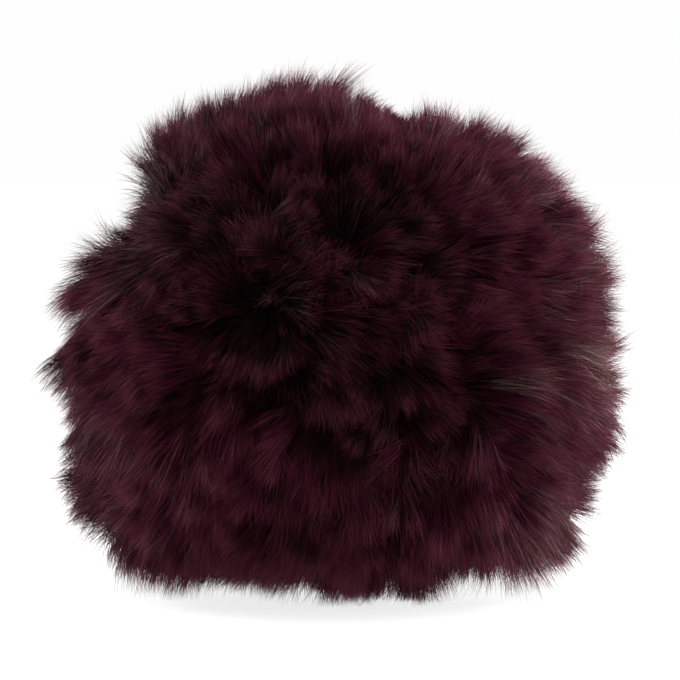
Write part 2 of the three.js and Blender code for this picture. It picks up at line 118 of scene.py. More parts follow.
LAMPS = {"left": ((-0.9, 0.5, 0.35), 30), "right": ((0.95, 0.1, 0.3), 36), "top": ((0.0, 0.25, 1.0), 14)}
LAMP_WIDTH = 0.6

# The side of the ball that the lie of the fur is described from: turned a little to the left of
# the basket's axis, and a little from above.
FACE_TURN = math.radians(-8)
FACE_TILT = math.radians(4)
TOWARDS = Vector((math.sin(FACE_TURN) * math.cos(FACE_TILT),
                  -math.cos(FACE_TURN) * math.cos(FACE_TILT), math.sin(FACE_TILT)))
RIGHTWARDS = Vector((math.cos(FACE_TURN), math.sin(FACE_TURN), 0))
UPWARDS = TOWARDS.cross(RIGHTWARDS)
FACE_RADIUS = 66.0                       # millimetres
TAN_PATCH = (6, 7)                       # millimetres to the right and up: browner fur

# Partings of the pile, as lines across the face: millimetres to the right and up.
PARTINGS = [
    [(-52, 36), (-36, 26), (-27, 12), (-17, 11), (-6, 4), (9, -5), (18, -15), (26, -26)],
    [(-5, 30), (5, 22), (14, 26)],
]

# Where the pile is swept another way: place, way it is swept (right, up), strength, spread in mm.
SWEEPS = [
    ((7, 9), (1.0, -0.45), 2.0, 11),
    ((-12, 8), (1.0, -0.4), 3.0, 9),
    ((-26, 0), (-0.45, -1.0), 1.5, 13),
    ((-24, 24), (-0.1, 1.0), 1.2, 10),
    ((-6, 38), (0.4, 1.0), 1.8, 10),
    ((14, 23), (1.0, 0.0), 2.5, 11),
    ((14, -18), (0.5, -1.0), 1.2, 14),
    ((35, 29), (1.0, 0.12), 1.5, 16),
    ((54, -12), (0.45, -1.0), 1.5, 22),
    ((-26, 45), (-0.35, 1.0), 1.5, 20),
    ((35, 50), (0.35, 1.0), 1.5, 12),
    ((-60, 2), (-1.0, -0.15), 1.0, 18),
    ((0, -50), (0.0, -1.0), 1.0, 30),
]

# Tufts and hollows round the ball, as ridges that run from front to back: angle from the right in
# degrees, towards the viewer (share of the radius), how far the pile stands out in mm, half width
# in degrees, and half length (share of the radius).
TUFTS = [
    (60, 0.0, -3.5, 8, 0.6), (76, 0.0, -13.0, 10, 0.6), (92, 0.0, -4.0, 7, 0.6),
    (104, 0.0, -2.0, 10, 0.6), (137, 0.0, 2.5, 9, 0.6), (150, 0.0, -11.5, 6, 0.45),
    (163, -0.1, 7.0, 4, 0.3), (180, 0.0, 4.5, 7, 0.6), (198, 0.0, 2.5, 10, 0.6),
    (218, 0.0, 5.0, 10, 0.6), (240, 0.0, -2.5, 6, 0.6), (270, 0.5, -3.5, 40, 0.35),
    (300, 0.0, -5.0, 6, 0.6), (316, 0.0, 6.0, 10, 0.6), (347, 0.0, 7.5, 9, 0.6),
    (16, 0.0, 2.5, 7, 0.6), (50, 0.0, 3.0, 9, 0.6),
]


# ---------------------------------------------------------------- node trees

def find_socket(sockets, key):
    """A socket by its place, its identifier or its name; of several by one name, the one in use."""
    if isinstance(key, int):
        return sockets[key]
    for socket in sockets:
        if socket.identifier == key and socket.enabled:
            return socket
    for socket in sockets:
        if socket.name == key and socket.enabled:
            return socket
    raise KeyError(f"no socket {key!r} among {[s.name for s in sockets]}")


def sum_of(operation, reflected=False):
    """What an operator on a wire does: it adds the node of the sum."""
    def method(wire, value):
        values = (value, wire) if reflected else (wire, value)
        return wire.graph.sum(operation, *values)
    return method


class Wire:
    """A node's output. Sums on it, with numbers, triples or other wires, add their nodes."""

    def __init__(self, graph, socket):
        self.graph = graph
        self.socket = socket

    def other(self, key):
        return Wire(self.graph, find_socket(self.socket.node.outputs, key))

    __add__ = sum_of("ADD")
    __radd__ = sum_of("ADD", reflected=True)
    __sub__ = sum_of("SUBTRACT")
    __rsub__ = sum_of("SUBTRACT", reflected=True)
    __mul__ = sum_of("MULTIPLY")
    __rmul__ = sum_of("MULTIPLY", reflected=True)
    __truediv__ = sum_of("DIVIDE")
    __rtruediv__ = sum_of("DIVIDE", reflected=True)
    __pow__ = sum_of("POWER")


def is_vector(value):
    if isinstance(value, Wire):
        return value.socket.type in ("VECTOR", "RGBA")
    return isinstance(value, (tuple, Vector))


class Graph:
    """A node tree, built by expressions."""

    def __init__(self, tree):
        self.tree = tree
        tree.nodes.clear()

    def add(self, kind, inputs=None, output=0, stops=None, **settings):
        """Adds a node with its settings, and then the values or links of its sockets."""
        node = self.tree.nodes.new(kind)
        for name, value in settings.items():
            setattr(node, name, value)
        if stops:
            elements = node.color_ramp.elements
            while len(elements) < len(stops):
                elements.new(0.5)
            for element, (position, colour) in zip(elements, stops):
                element.position = position
                element.color = (*colour, 1)
        for key, value in (inputs or {}).items():
            socket = find_socket(node.inputs, key)
            if isinstance(value, Wire):
                self.tree.links.new(value.socket, socket)
            elif socket.type == "RGBA" and len(value) == 3:
                socket.default_value = (*value, 1)
            else:
                socket.default_value = value
        if not len(node.outputs):
            return node
        return Wire(self, find_socket(node.outputs, output))

    def sum(self, operation, *values):
        """A Math or Vector Math node, whichever the values need."""
        spatial = [is_vector(value) for value in values]
        if not any(spatial):
            return self.add("ShaderNodeMath", dict(enumerate(values)), operation=operation)
        if operation == "MULTIPLY" and not all(spatial):
            vector, scale = values if spatial[0] else values[::-1]
            return self.add("ShaderNodeVectorMath", {0: vector, "Scale": scale}, operation="SCALE")
        output = "Value" if operation == "DOT_PRODUCT" else 0
        return self.add("ShaderNodeVectorMath", dict(enumerate(values)), output, operation=operation)

    def swing(self, turn):
        """The sine and the cosine of an angle."""
        return self.sum("SINE", turn), self.sum("COSINE", turn)

    def clamp(self, value, low, high):
        return self.sum("MINIMUM", self.sum("MAXIMUM", value, low), high)

    def step(self, value, low, high):
        """0 below low, 1 above high, and smooth between them."""
        return self.add("ShaderNodeMapRange", {"Value": value, "From Min": low, "From Max": high},
                        interpolation_type="SMOOTHSTEP")

    def blend(self, factor, first, second):
        """A mix of two colours."""
        return self.add("ShaderNodeMix", {"Factor_Float": factor, "A_Color": first, "B_Color": second},
                        "Result_Color", data_type="RGBA")

    def triple(self, x=0.0, y=0.0, z=0.0):
        """A vector from three numbers or wires."""
        return self.add("ShaderNodeCombineXYZ", {"X": x, "Y": y, "Z": z})

    def parts(self, vector):
        """The three numbers of a vector."""
        first = self.add("ShaderNodeSeparateXYZ", {0: vector}, "X")
        return first, first.other("Y"), first.other("Z")

    def named(self, name):
        """A number that the geometry carries under a name."""
        return self.add("GeometryNodeInputNamedAttribute", {"Name": name}, "Attribute", data_type="FLOAT")

    def arrow(self, name):
        """A vector that the geometry carries under a name."""
        return self.add("GeometryNodeInputNamedAttribute", {"Name": name}, "Attribute",
                        data_type="FLOAT_VECTOR")

    def store(self, geometry, name, value, data_type=None, domain="POINT"):
        """Keeps a value on the geometry under a name."""
        kind = data_type or ("FLOAT_VECTOR" if is_vector(value) else "FLOAT")
        return self.add("GeometryNodeStoreNamedAttribute",
                        {"Geometry": geometry, "Name": name, "Value": value},
                        data_type=kind, domain=domain)

    def copies(self, points, instance, **placing):
        """Copies of a piece on points, made real."""
        placed = self.add("GeometryNodeInstanceOnPoints", {
            "Points": points, "Instance": instance, **placing})
        return self.add("GeometryNodeRealizeInstances", {"Geometry": placed})

    def join(self, *geometries):
        joint = self.add("GeometryNodeJoinGeometry")
        for geometry in geometries:
            self.tree.links.new(geometry.socket, joint.socket.node.inputs[0])
        return joint

    def finish(self, geometry, material, *spare):
        """Ends a Geometry Nodes tree: drops attributes of no more use, and sets the material."""
        for name in spare:
            geometry = self.add("GeometryNodeRemoveAttribute", {"Geometry": geometry, "Name": name})
        geometry = self.add("GeometryNodeSetMaterial", {"Geometry": geometry, "Material": material})
        self.add("NodeGroupOutput", {"Geometry": geometry})


def new_tree(name, numbers, **others):
    """A Geometry Nodes tree, its graph, and what finds its inputs by name, most of them numbers."""
    tree = bpy.data.node_groups.new(name, "GeometryNodeTree")
    for key, kind in {"Geometry": "Geometry", **dict.fromkeys(numbers, "Float"), **others}.items():
        tree.interface.new_socket(key, in_out="INPUT", socket_type=f"NodeSocket{kind}")
    tree.interface.new_socket("Geometry", in_out="OUTPUT", socket_type="NodeSocketGeometry")
    graph = Graph(tree)
    return tree, graph, graph.add("NodeGroupInput").other


# ---------------------------------------------------------------- meshes

def added(name, data):
    """A new object in the scene."""
    thing = bpy.data.objects.new(name, data)
    bpy.context.scene.collection.objects.link(thing)
    return thing


def discard(*pieces):
    for piece in pieces:
        bpy.data.objects.remove(piece)


def smooth(mesh, sharp):
    """Shades a mesh smooth, but for the edges that turn by more than some degrees."""
    mesh.shade_smooth()
    mesh.set_sharp_from_angle(angle=math.radians(sharp))
    return mesh


def new_object(name, vertices, faces=(), edges=(), attributes=None):
    """A mesh object from arrays, with attributes {name: array} on its points."""
    mesh = bpy.data.meshes.new(name)
    mesh.from_pydata([tuple(v) for v in vertices], edges, [tuple(f) for f in faces])
    for key, values in (attributes or {}).items():
        values = np.asarray(values, np.float32)
        kind, field = ("FLOAT_VECTOR", "vector") if values.ndim == 2 else ("FLOAT", "value")
        mesh.attributes.new(key, kind, "POINT").data.foreach_set(field, values.ravel())
    return added(name, mesh)


def object_of(form, name):
    """The object of a bmesh, with its faces turned outwards."""
    bmesh.ops.recalc_face_normals(form, faces=form.faces)
    mesh = bpy.data.meshes.new(name)
    form.to_mesh(mesh)
    form.free()
    return added(name, mesh)


def evaluated(source, name):
    """The mesh that an object's modifiers make."""
    depsgraph = bpy.context.evaluated_depsgraph_get()
    mesh = bpy.data.meshes.new_from_object(source.evaluated_get(depsgraph), depsgraph=depsgraph)
    mesh.name = name
    return mesh


def grown(source, tree, sizes, name):
    """What a Geometry Nodes tree makes of an object, as a plain mesh; its inputs are set by name."""
    modifier = source.modifiers.new("grow", "NODES")
    modifier.node_group = tree
    for item in tree.interface.items_tree:
        if item.item_type == "SOCKET" and item.in_out == "INPUT" and item.name in sizes:
            modifier[item.identifier] = sizes[item.name]
    mesh = evaluated(source, name)
    source.modifiers.remove(modifier)
    return added(name, mesh)


def plain(source, sharp=40):
    """An object of the same name whose mesh is what the modifiers make, in place of the source."""
    name = source.name
    mesh = smooth(evaluated(source, name), sharp)
    discard(source)
    return added(name, mesh)


def rounded(piece, width, steps=2):
    """Rounds a piece's sharp edges; the width is in millimetres."""
    bevel = piece.modifiers.new("rounding", "BEVEL")
    bevel.width = width * MM
    bevel.segments = steps
    bevel.limit_method = "ANGLE"
    bevel.angle_limit = math.radians(28)
    return piece


def on_ball(radius, lean, turn):
    """A place on a ball round the basket's middle: lean from the rear pole, turn about the axis."""
    return CENTRE + Vector((math.sin(lean) * math.cos(turn), math.cos(lean),
                            math.sin(lean) * math.sin(turn))) * radius


def turned(name, outline, segments=96, rounding=0.25, wave=None, sharp=40, from_pole=False):
    """A closed body of revolution about the basket's axis, with rounded edges and its own UV map.

    The map, called wrap, is in metres. It runs round the piece and then along its outline, or
    lies flat round the pole. A wave moves each point by what it says for the turn, the radius
    and the place along the axis.
    """
    form = bmesh.new()
    wrap = form.loops.layers.uv.new("wrap")
    rings = []
    for k in range(segments):
        turn = 2 * math.pi * k / segments
        ring = []
        for radius, along in outline:
            if wave:
                radius, along = wave(turn, radius, along)
            ring.append(form.verts.new(CENTRE + Vector(
                (radius * math.cos(turn), along, radius * math.sin(turn))) * MM))
        rings.append(ring)
    runs = [0.0]
    for (r0, a0), (r1, a1) in zip(outline, outline[1:] + outline[:1]):
        runs.append(runs[-1] + math.hypot(r1 - r0, a1 - a0) * MM)
    breadth = 2 * math.pi * max(radius for radius, _ in outline) * MM

    def spot(around, place):
        if not from_pole:
            return breadth * around / segments, runs[place]
        radius, along = outline[place % len(outline)]
        reach = GAUZE_OUTSIDE * MM * math.atan2(radius, abs(along))
        turn = 2 * math.pi * around / segments
        return reach * math.cos(turn), reach * math.sin(turn)

    for k in range(segments):
        for i in range(len(outline)):
            j = (i + 1) % len(outline)
            if max(outline[i][0], outline[j][0]) < AT_THE_AXIS:
                continue
            ring, following = rings[k], rings[(k + 1) % segments]
            face = form.faces.new((ring[i], following[i], following[j], ring[j]))
            corners = [(k, i), (k + 1, i), (k + 1, i + 1), (k, i + 1)]
            for loop, corner in zip(face.loops, corners):
                loop[wrap].uv = spot(*corner)
    if from_pole:
        bmesh.ops.remove_doubles(form, verts=form.verts, dist=0.001 * MM)
    piece = object_of(form, name)
    if rounding:
        rounded(piece, rounding)
    return plain(piece, sharp)


def arc(radius, first, last, steps):
    """Outline points round the ball's centre; angles are from the rear pole, in degrees."""
    turns = [math.radians(first + (last - first) * i / steps) for i in range(steps + 1)]
    return [(radius * math.sin(turn), radius * math.cos(turn)) for turn in turns]


def joined(name, *pieces, sharp=40):
    """One object from several, in their place."""
    form = bmesh.new()
    for piece in pieces:
        form.from_mesh(piece.data)
    discard(*pieces)
    whole = object_of(form, name)
    smooth(whole.data, sharp)
    return whole


def block(name, size, place, turn, rounding):
    """A box with rounded edges, size and place in millimetres, turned about the basket's axis."""
    form = bmesh.new()
    bmesh.ops.create_cube(form, size=1)
    bmesh.ops.scale(form, vec=Vector(size) * MM, verts=form.verts)
    bmesh.ops.translate(form, vec=Vector(place) * MM, verts=form.verts)
    spin = Matrix.Rotation(-turn, 4, "Y")
    bmesh.ops.transform(form, matrix=Matrix.Translation(CENTRE) @ spin, verts=form.verts)
    return plain(rounded(object_of(form, name), rounding, 3))


def rod_along(radius, first, last, segments, right=0.0, up=0.0):
    """A closed rod along the basket's axis, in millimetres, at a place to the side of it."""
    form = bmesh.new()
    bmesh.ops.create_cone(form, segments=segments, cap_ends=True, radius1=radius * MM,
                          radius2=radius * MM, depth=(last - first) * MM)
    turned_over = Matrix.Rotation(math.radians(90), 4, "X")
    place = CENTRE + Vector((right, (first + last) / 2, up)) * MM
    bmesh.ops.transform(form, matrix=Matrix.Translation(place) @ turned_over, verts=form.verts)
    return object_of(form, "rod")


def cut(piece, *cutters):
    """Takes each cutter out of a piece, and removes the cutters."""
    for cutter in cutters:
        bore = piece.modifiers.new("bore", "BOOLEAN")
        bore.operation = "DIFFERENCE"
        bore.object = cutter
        bore.solver = "EXACT"
    made = plain(piece)
    discard(*cutters)
    return made


def finish_piece(piece, material, body, slot, *nodes):
    """Gives a piece its material and its body, and hides the CAD nodes that it stands for; the slot, its
    finish, is not used.
    """
    piece.data.materials.clear()
    piece.data.materials.append(material)
    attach(piece, body)
    if nodes:
        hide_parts(*nodes)


# ---------------------------------------------------------------- the jacket's fur

def face_direction(right, up):
    """The direction from the ball's centre to a place on its face, in millimetres."""
    depth = math.sqrt(max(FACE_RADIUS ** 2 - right ** 2 - up ** 2, 25))
    return (RIGHTWARDS * right + UPWARDS * up + TOWARDS * depth).normalized()


def outline_radius(directions):
    """How far the CAD fur reaches from the ball's centre in each direction."""
    trees = []
    for name in GORES + [BACK_PANEL]:
        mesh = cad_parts[name].data
        polygons = [tuple(p.vertices) for p in mesh.polygons]
        trees.append(BVHTree.FromPolygons([v.co for v in mesh.vertices], polygons))
    outside, inside = 0.2, 0.045
    radii = np.zeros(len(directions))
    for i, direction in enumerate(directions):
        ray = Vector(direction)
        start = CENTRE + ray * outside
        for tree in trees:
            place = tree.ray_cast(start, -ray, outside - inside)[0]
            if place is not None:
                radii[i] = max(radii[i], (place - CENTRE).length)
    return radii


def smoothed(values, edges, rounds):
    """Values on a mesh's points, each drawn towards its neighbours' mean."""
    values = np.array(values, float)
    count = np.bincount(edges.ravel(), minlength=len(values)).astype(float)
    for _ in range(rounds):
        total = np.zeros_like(values)
        np.add.at(total, edges[:, 0], values[edges[:, 1]])
        np.add.at(total, edges[:, 1], values[edges[:, 0]])
        values = 0.5 * values + 0.5 * total / count
    return values


def ripple(directions, size, seed):
    """Smooth noise from -1 to 1 over the ball; size is the width of its lumps in metres."""
    scale = 0.06 / size
    shift = Vector((seed * 7.3, seed * 3.1, seed * 5.7))
    return np.array([noise.noise(Vector(d) * scale + shift) for d in directions])


def unit(vectors):
    return vectors / np.maximum(np.linalg.norm(vectors, axis=1, keepdims=True), 1e-9)


def step(values, low, high):
    share = np.clip((values - low) / (high - low), 0, 1)
    return share * share * (3 - 2 * share)


def hump(values, breadth):
    """1 where a value is nought, falling away over a breadth."""
    return np.exp(-(values / breadth) ** 2)


def angle_from(directions, way):
    return np.arccos(np.clip(directions @ np.array(way), -1, 1))


def flat_on(directions, ways):
    """The part of each way that lies along the ball, at length one."""
    return unit(ways - directions * np.sum(ways * directions, 1)[:, None])


def lie_of_pile(directions):
    """The way that the pile is combed at each direction, and how close each is to a parting."""
    comb = np.zeros_like(directions)
    weight = np.zeros(len(directions))
    softness = 0.11
    for line in PARTINGS:
        for (x0, z0), (x1, z1) in zip(line, line[1:]):
            for share in np.linspace(0, 1, 5):
                source = np.array(face_direction(x0 + (x1 - x0) * share, z0 + (z1 - z0) * share))
                cosine = directions @ source
                away = unit(directions * cosine[:, None] - source)
                pull = np.exp(-angle_from(directions, source) / softness)
                comb += away * pull[:, None]
                weight += pull
    clarity = np.linalg.norm(comb, axis=1) / weight
    comb = unit(comb)
    nearness = np.clip(-np.log(np.maximum(weight, 1e-30)) * softness, 0, 3)
    for (x, z), (right, up), strength, spread in SWEEPS:
        distance = angle_from(directions, face_direction(x, z)) * FACE_RADIUS
        way = np.array(RIGHTWARDS * right + UPWARDS * up)
        comb += way * (strength * hump(distance, spread))[:, None]
    behind = step(directions[:, 1], 0.0, 0.55)[:, None]
    rearward = unit(REARWARDS - directions * directions[:, 1:2])
    comb = flat_on(directions, comb) * (1 - behind) + rearward * behind
    twist = (np.radians(26) * ripple(directions, 0.019, 1)
             + np.radians(20) * ripple(directions, 0.009, 2))
    comb = flat_on(directions, comb)
    side = np.cross(directions, comb)
    comb = comb * np.cos(twist)[:, None] + side * np.sin(twist)[:, None]
    return unit(comb), nearness, clarity


def height_of_fur(directions, edges):
    """How far the tips stand from the ball's centre: the CAD fur with its tufts and hollows."""
    reach = outline_radius(directions)
    reach = smoothed(np.where(reach > 0, reach, REACH_AT_HEM), edges, 6)
    depths = directions @ np.array(TOWARDS)
    turns = np.degrees(np.arctan2(directions @ np.array(UPWARDS), directions @ np.array(RIGHTWARDS)))
    for angle, depth, height, breadth, length in TUFTS:
        away = (turns - angle + 180) % 360 - 180
        reach += height * MM * hump(away, breadth) * hump(depths - depth, length)
    reach += 1.6 * MM * ripple(directions, 0.016, 3) + 1.0 * MM * ripple(directions, 0.007, 4)
    return reach - 0.9 * MM * np.clip(1 - directions[:, 2] ** 2 * 3, 0, 1)


def tint_of_fur(directions, hollow):
    """Where the hair is darker or browner, partly painted shade and sheen: 0 is the darkest dye and 1 the
    palest.
    """
    depths = directions @ np.array(TOWARDS)
    right_side = directions @ np.array(RIGHTWARDS)
    tan_patch = hump(angle_from(directions, face_direction(*TAN_PATCH)), 0.2)
    # Painted shade: darker hair in the middle of the face, and low down away from the right side.
    painted_middle_shade = hump(1 - depths, 0.35)
    low = step(-directions[:, 2], 0.1, 0.8) * (1 - step(right_side, 0.2, 0.7))
    # Painted sheen: paler, browner hair on the right side. Painted shade: darker hair in the partings
    # (hollow). The tan patch and the ripple are the fur's own colour.
    tint = (0.355 + 0.27 * step(right_side, 0.1, 0.85) + 0.14 * tan_patch - 0.24 * hollow
            - 0.07 * painted_middle_shade - 0.06 * low)
    return tint + 0.26 * ripple(directions, 0.015, 6)


def fur_backing(settings):
    """The cloth that the hair grows from, in five panels, with the lie of the pile on its points."""
    form = bmesh.new()
    bmesh.ops.create_icosphere(form, subdivisions=6, radius=1)
    form.verts.ensure_lookup_table()
    directions = unit(np.array([v.co for v in form.verts], float))
    edges = np.array([[e.verts[0].index, e.verts[1].index] for e in form.edges])
    faces = np.array([[v.index for v in f.verts] for f in form.faces])
    form.free()

    reach = height_of_fur(directions, edges)
    skin = np.maximum(BACKING_RADIUS, smoothed(reach, edges, 30) - settings.pile_height)
    from_rear = angle_from(directions, REARWARDS)
    near_hem = 1 - step(from_rear, *HEM_FLARE)
    skin = np.maximum(skin, BACKING_RADIUS + 3.9 * MM * near_hem)

    comb, nearness, clarity = lie_of_pile(directions)
    rear = 1 - step(from_rear, HEM_ANGLE, REAR_FUR_ANGLE)
    hollow = hump(nearness, 0.07)
    lean_root = np.radians(16) + np.radians(20) * hollow - np.radians(4) * rear
    lean_tip = (np.radians(60) + np.radians(14) * hollow - np.radians(12) * rear
                + np.radians(16) * ripple(directions, 0.012, 5))
    upright = (np.sin(lean_tip) - np.sin(lean_root)) / (lean_tip - lean_root)
    pile = np.clip((reach - skin) / upright * (1 - 0.4 * hollow), *HAIR_LENGTHS)
    lie = {
        "up": directions, "comb": comb, "pile": pile, "lean_root": lean_root, "lean_tip": lean_tip,
        "tint": tint_of_fur(directions, hollow), "cling": 1 - 0.55 * rear,
        "muss": 1.0 + (0.7 * (1 - step(clarity, 0.1, 0.8)) + 1.1 * hollow) * (1 - rear),
    }

    points = np.array(CENTRE) + directions * skin[:, None]
    points[:, 2] = np.maximum(points[:, 2], CLOTH_OFF_FLOOR)
    middle = unit(directions[faces].mean(1))
    around = np.degrees(np.arctan2(middle[:, 2], middle[:, 0])) % 360
    gore = ((around - math.degrees(FIRST_SEAM)) // 90).astype(int) % 4
    middle_from_rear = angle_from(middle, REARWARDS)
    region = np.where(middle_from_rear < BACK_PANEL_ANGLE, 4, gore)
    outside = middle_from_rear > HEM_ANGLE
    for index, name in enumerate(GORES + [BACK_PANEL]):
        own = faces[(region == index) & outside]
        used, flat = np.unique(own, return_inverse=True)
        attributes = {key: values[used] for key, values in lie.items()}
        yield name, new_object(f"{name}_cloth", points[used], flat.reshape(own.shape),
                               attributes=attributes)


def hair_blade(segments):
    """One flat hair, as points with their share of the way along it and their side."""
    along, side, faces = [], [], []
    for i in range(segments):
        along += [i / segments] * 2
        side += [-1, 1]
    along.append(1)
    side.append(0)
    for i in range(segments - 1):
        faces.append((2 * i, 2 * i + 1, 2 * i + 3, 2 * i + 2))
    faces.append((2 * segments - 2, 2 * segments - 1, 2 * segments))
    points = [(s * 1e-4, a * 1e-3, 0) for s, a in zip(side, along)]
    return new_object(f"hair_{segments}", points, faces, attributes={"along": along, "side": side})


def fur_tree(name):
    """Grows hair on a panel of cloth. Its tufts lean together towards their own middles."""
    tree, graph, given = new_tree(
        name, ["Density", "Width", "Length", "Tuft Size", "Tuft Pull", "Wisp Size", "Wisp Pull",
               "Frizz", "Lock Size", "Lock Pull", "Droop"],
        Hair="Object", Seed="Int", Material="Material")
    seed = given("Seed")
    points = graph.add("GeometryNodeDistributePointsOnFaces", {
        "Mesh": given("Geometry"), "Density": given("Density"), "Seed": seed})
    root = graph.add("GeometryNodeInputPosition")
    up = graph.sum("NORMALIZE", graph.arrow("up"))
    comb = graph.arrow("comb")

    def chance(offset):
        """Three random numbers of a hair."""
        return graph.parts(graph.add("FunctionNodeRandomValue", {"Seed": seed + offset}, "Value",
                                     data_type="FLOAT_VECTOR"))

    def gather(kind):
        """The cell of a tuft: the way to its middle along the cloth, and its own random numbers."""
        cell = graph.add("ShaderNodeTexVoronoi", {"Vector": root, "Scale": 1 / given(f"{kind} Size")},
                         "Position")
        way = cell - root
        flat = way - up * graph.sum("DOT_PRODUCT", way, up)
        return flat * given(f"{kind} Pull"), *graph.parts(cell.other("Color"))

    lock_way, lock_turn, lock_length, lock_tint = gather("Lock")
    tuft_way, tuft_turn, tuft_length, tuft_lift = gather("Tuft")
    wisp_way, wisp_turn, wisp_length, wisp_lift = gather("Wisp")
    own_turn, own_length, own_lift = chance(1)
    own_tint, own_twist, own_sway = chance(2)
    turn = ((tuft_turn - 0.5) * graph.named("muss") + (wisp_turn - 0.5) * 0.9
            + (own_turn - 0.5) * 0.45 + (lock_turn - 0.5) * 0.6)
    sine, cosine = graph.swing(turn)
    stored = {
        "root": root,
        "way": graph.sum("NORMALIZE", comb * cosine + graph.sum("CROSS_PRODUCT", up, comb) * sine),
        "pull": (lock_way + tuft_way + wisp_way) * graph.named("cling"),
        "length": graph.named("pile") * given("Length")
        * (0.68 + lock_length * 0.16 + tuft_length * 0.15 + wisp_length * 0.08)
        * (1 - own_length * own_length * 0.3),
        "lift": (tuft_lift - 0.5) * 0.75 + (wisp_lift - 0.5) * 0.4 + (own_lift - 0.5) * 0.24,
        "own_tint": graph.named("tint") + (tuft_length - 0.5) * 0.26 + (wisp_lift - 0.5) * 0.32
        + (own_tint - 0.5) * 0.42 + (lock_tint - 0.5) * 0.16,
        "twist": (own_twist - 0.5) * 2.3,
        "sway": (own_sway - 0.5) * 2,
    }
    for key, value in stored.items():
        points = graph.store(points, key, value)
    hair = graph.add("GeometryNodeObjectInfo", {"Object": given("Hair")}, "Geometry")
    hairs = graph.copies(points, hair)

    along, side, length, sway = (graph.named(key) for key in ("along", "side", "length", "sway"))
    root, way = graph.arrow("root"), graph.arrow("way")
    up = graph.sum("NORMALIZE", graph.arrow("up"))
    frizz = given("Frizz")
    first = graph.sum("MAXIMUM", graph.named("lean_root") + graph.named("lift") * 0.6, 0.03)
    last = graph.sum("MAXIMUM", graph.named("lean_tip") + graph.named("lift"), first + 0.1)
    bend = last - first
    first_sine, first_cosine = graph.swing(first)
    sine, cosine = graph.swing(first + bend * along)
    rise = (sine - first_sine) / bend * length
    run = (first_cosine - cosine) / bend * length
    across = graph.sum("CROSS_PRODUCT", way, up)
    face = up * sine - way * cosine
    curl = graph.add("ShaderNodeTexNoise", {
        "Vector": root * 900 + way * along * 1.6, "Scale": 1.0, "Detail": 0.0}, "Color")
    centre = root + up * rise + way * run + graph.arrow("pull") * along ** 1.3
    centre = centre + (curl - (0.5, 0.5, 0.5)) * (along * frizz)
    centre = centre + across * (sway * along * along * frizz)
    centre = centre + graph.triple(z=along * along * length * given("Droop") * -1)
    twist_sine, twist_cosine = graph.swing(graph.named("twist"))
    broad = across * twist_cosine + face * twist_sine
    half = given("Width") * 0.5 * (1 - along * along * 0.75)
    x, y, z = graph.parts(centre + broad * (half * side))
    above_floor = graph.sum("MAXIMUM", z, 0.3 * MM + 0.2 * MM * along)
    hairs = graph.add("GeometryNodeSetPosition", {
        "Geometry": hairs, "Position": graph.triple(x, y, above_floor)})
    soft = graph.sum("NORMALIZE", face * 0.62 + up * 0.5 + across * (sway * 0.42))
    hairs = graph.add("GeometryNodeSetMeshNormal", {"Mesh": hairs, "Custom Normal": soft},
                      mode="FREE", domain="POINT")
    strip = graph.sum("FLOOR", graph.clamp(graph.named("own_tint"), 0.0, 0.999) * TINT_STRIPS)
    spot = graph.triple((strip + 0.5 + side * 0.35) / TINT_STRIPS, along * 0.98 + 0.01)
    hairs = graph.store(hairs, "OFBake", spot, "FLOAT2", "CORNER")
    graph.finish(hairs, given("Material"), *stored, "up", "comb", "pile", "lean_root", "lean_tip",
                 "tint", "muss", "cling", "along", "side")
    return tree


def fur_material(name, settings):
    """Dyed fur: wine-red, purple and brown-grey lengths, with painted shade at the roots and painted
    light at the paler tips.
    """
    material, graph = new_material(name)
    tint, along, _ = graph.parts(graph.add("ShaderNodeUVMap", uv_map="OFBake"))
    # The palest stops of the ramp are reached mostly on the right side, where the tint paints a sheen.
    dye = graph.add("ShaderNodeValToRGB", {"Fac": tint}, "Color", stops=[
        (0.0, (0.004, 0.0012, 0.0018)), (0.20, settings.shadow_dye), (0.40, settings.wine_dye),
        (0.56, settings.plum_dye), (0.72, settings.ash_dye), (0.86, (0.072, 0.038, 0.034)),
        (1.0, (0.20, 0.12, 0.12))])
    # Painted shade: the hair darkens towards its root, as if shaded by the pile around it.
    body = dye * (0.34 + graph.step(along, 0.05, 0.75) * 0.78)
    # Painted light: the paler tips stand in for light shining through the thin ends of the hairs.
    tip = graph.blend(graph.step(along, 0.70, 1.0) * 0.65, body, settings.glowing_tip_dye)
    surface(graph, tip, 0.45, Specular_IOR_Level=0.02)
    return material


# ---------------------------------------------------------------- basket and collar

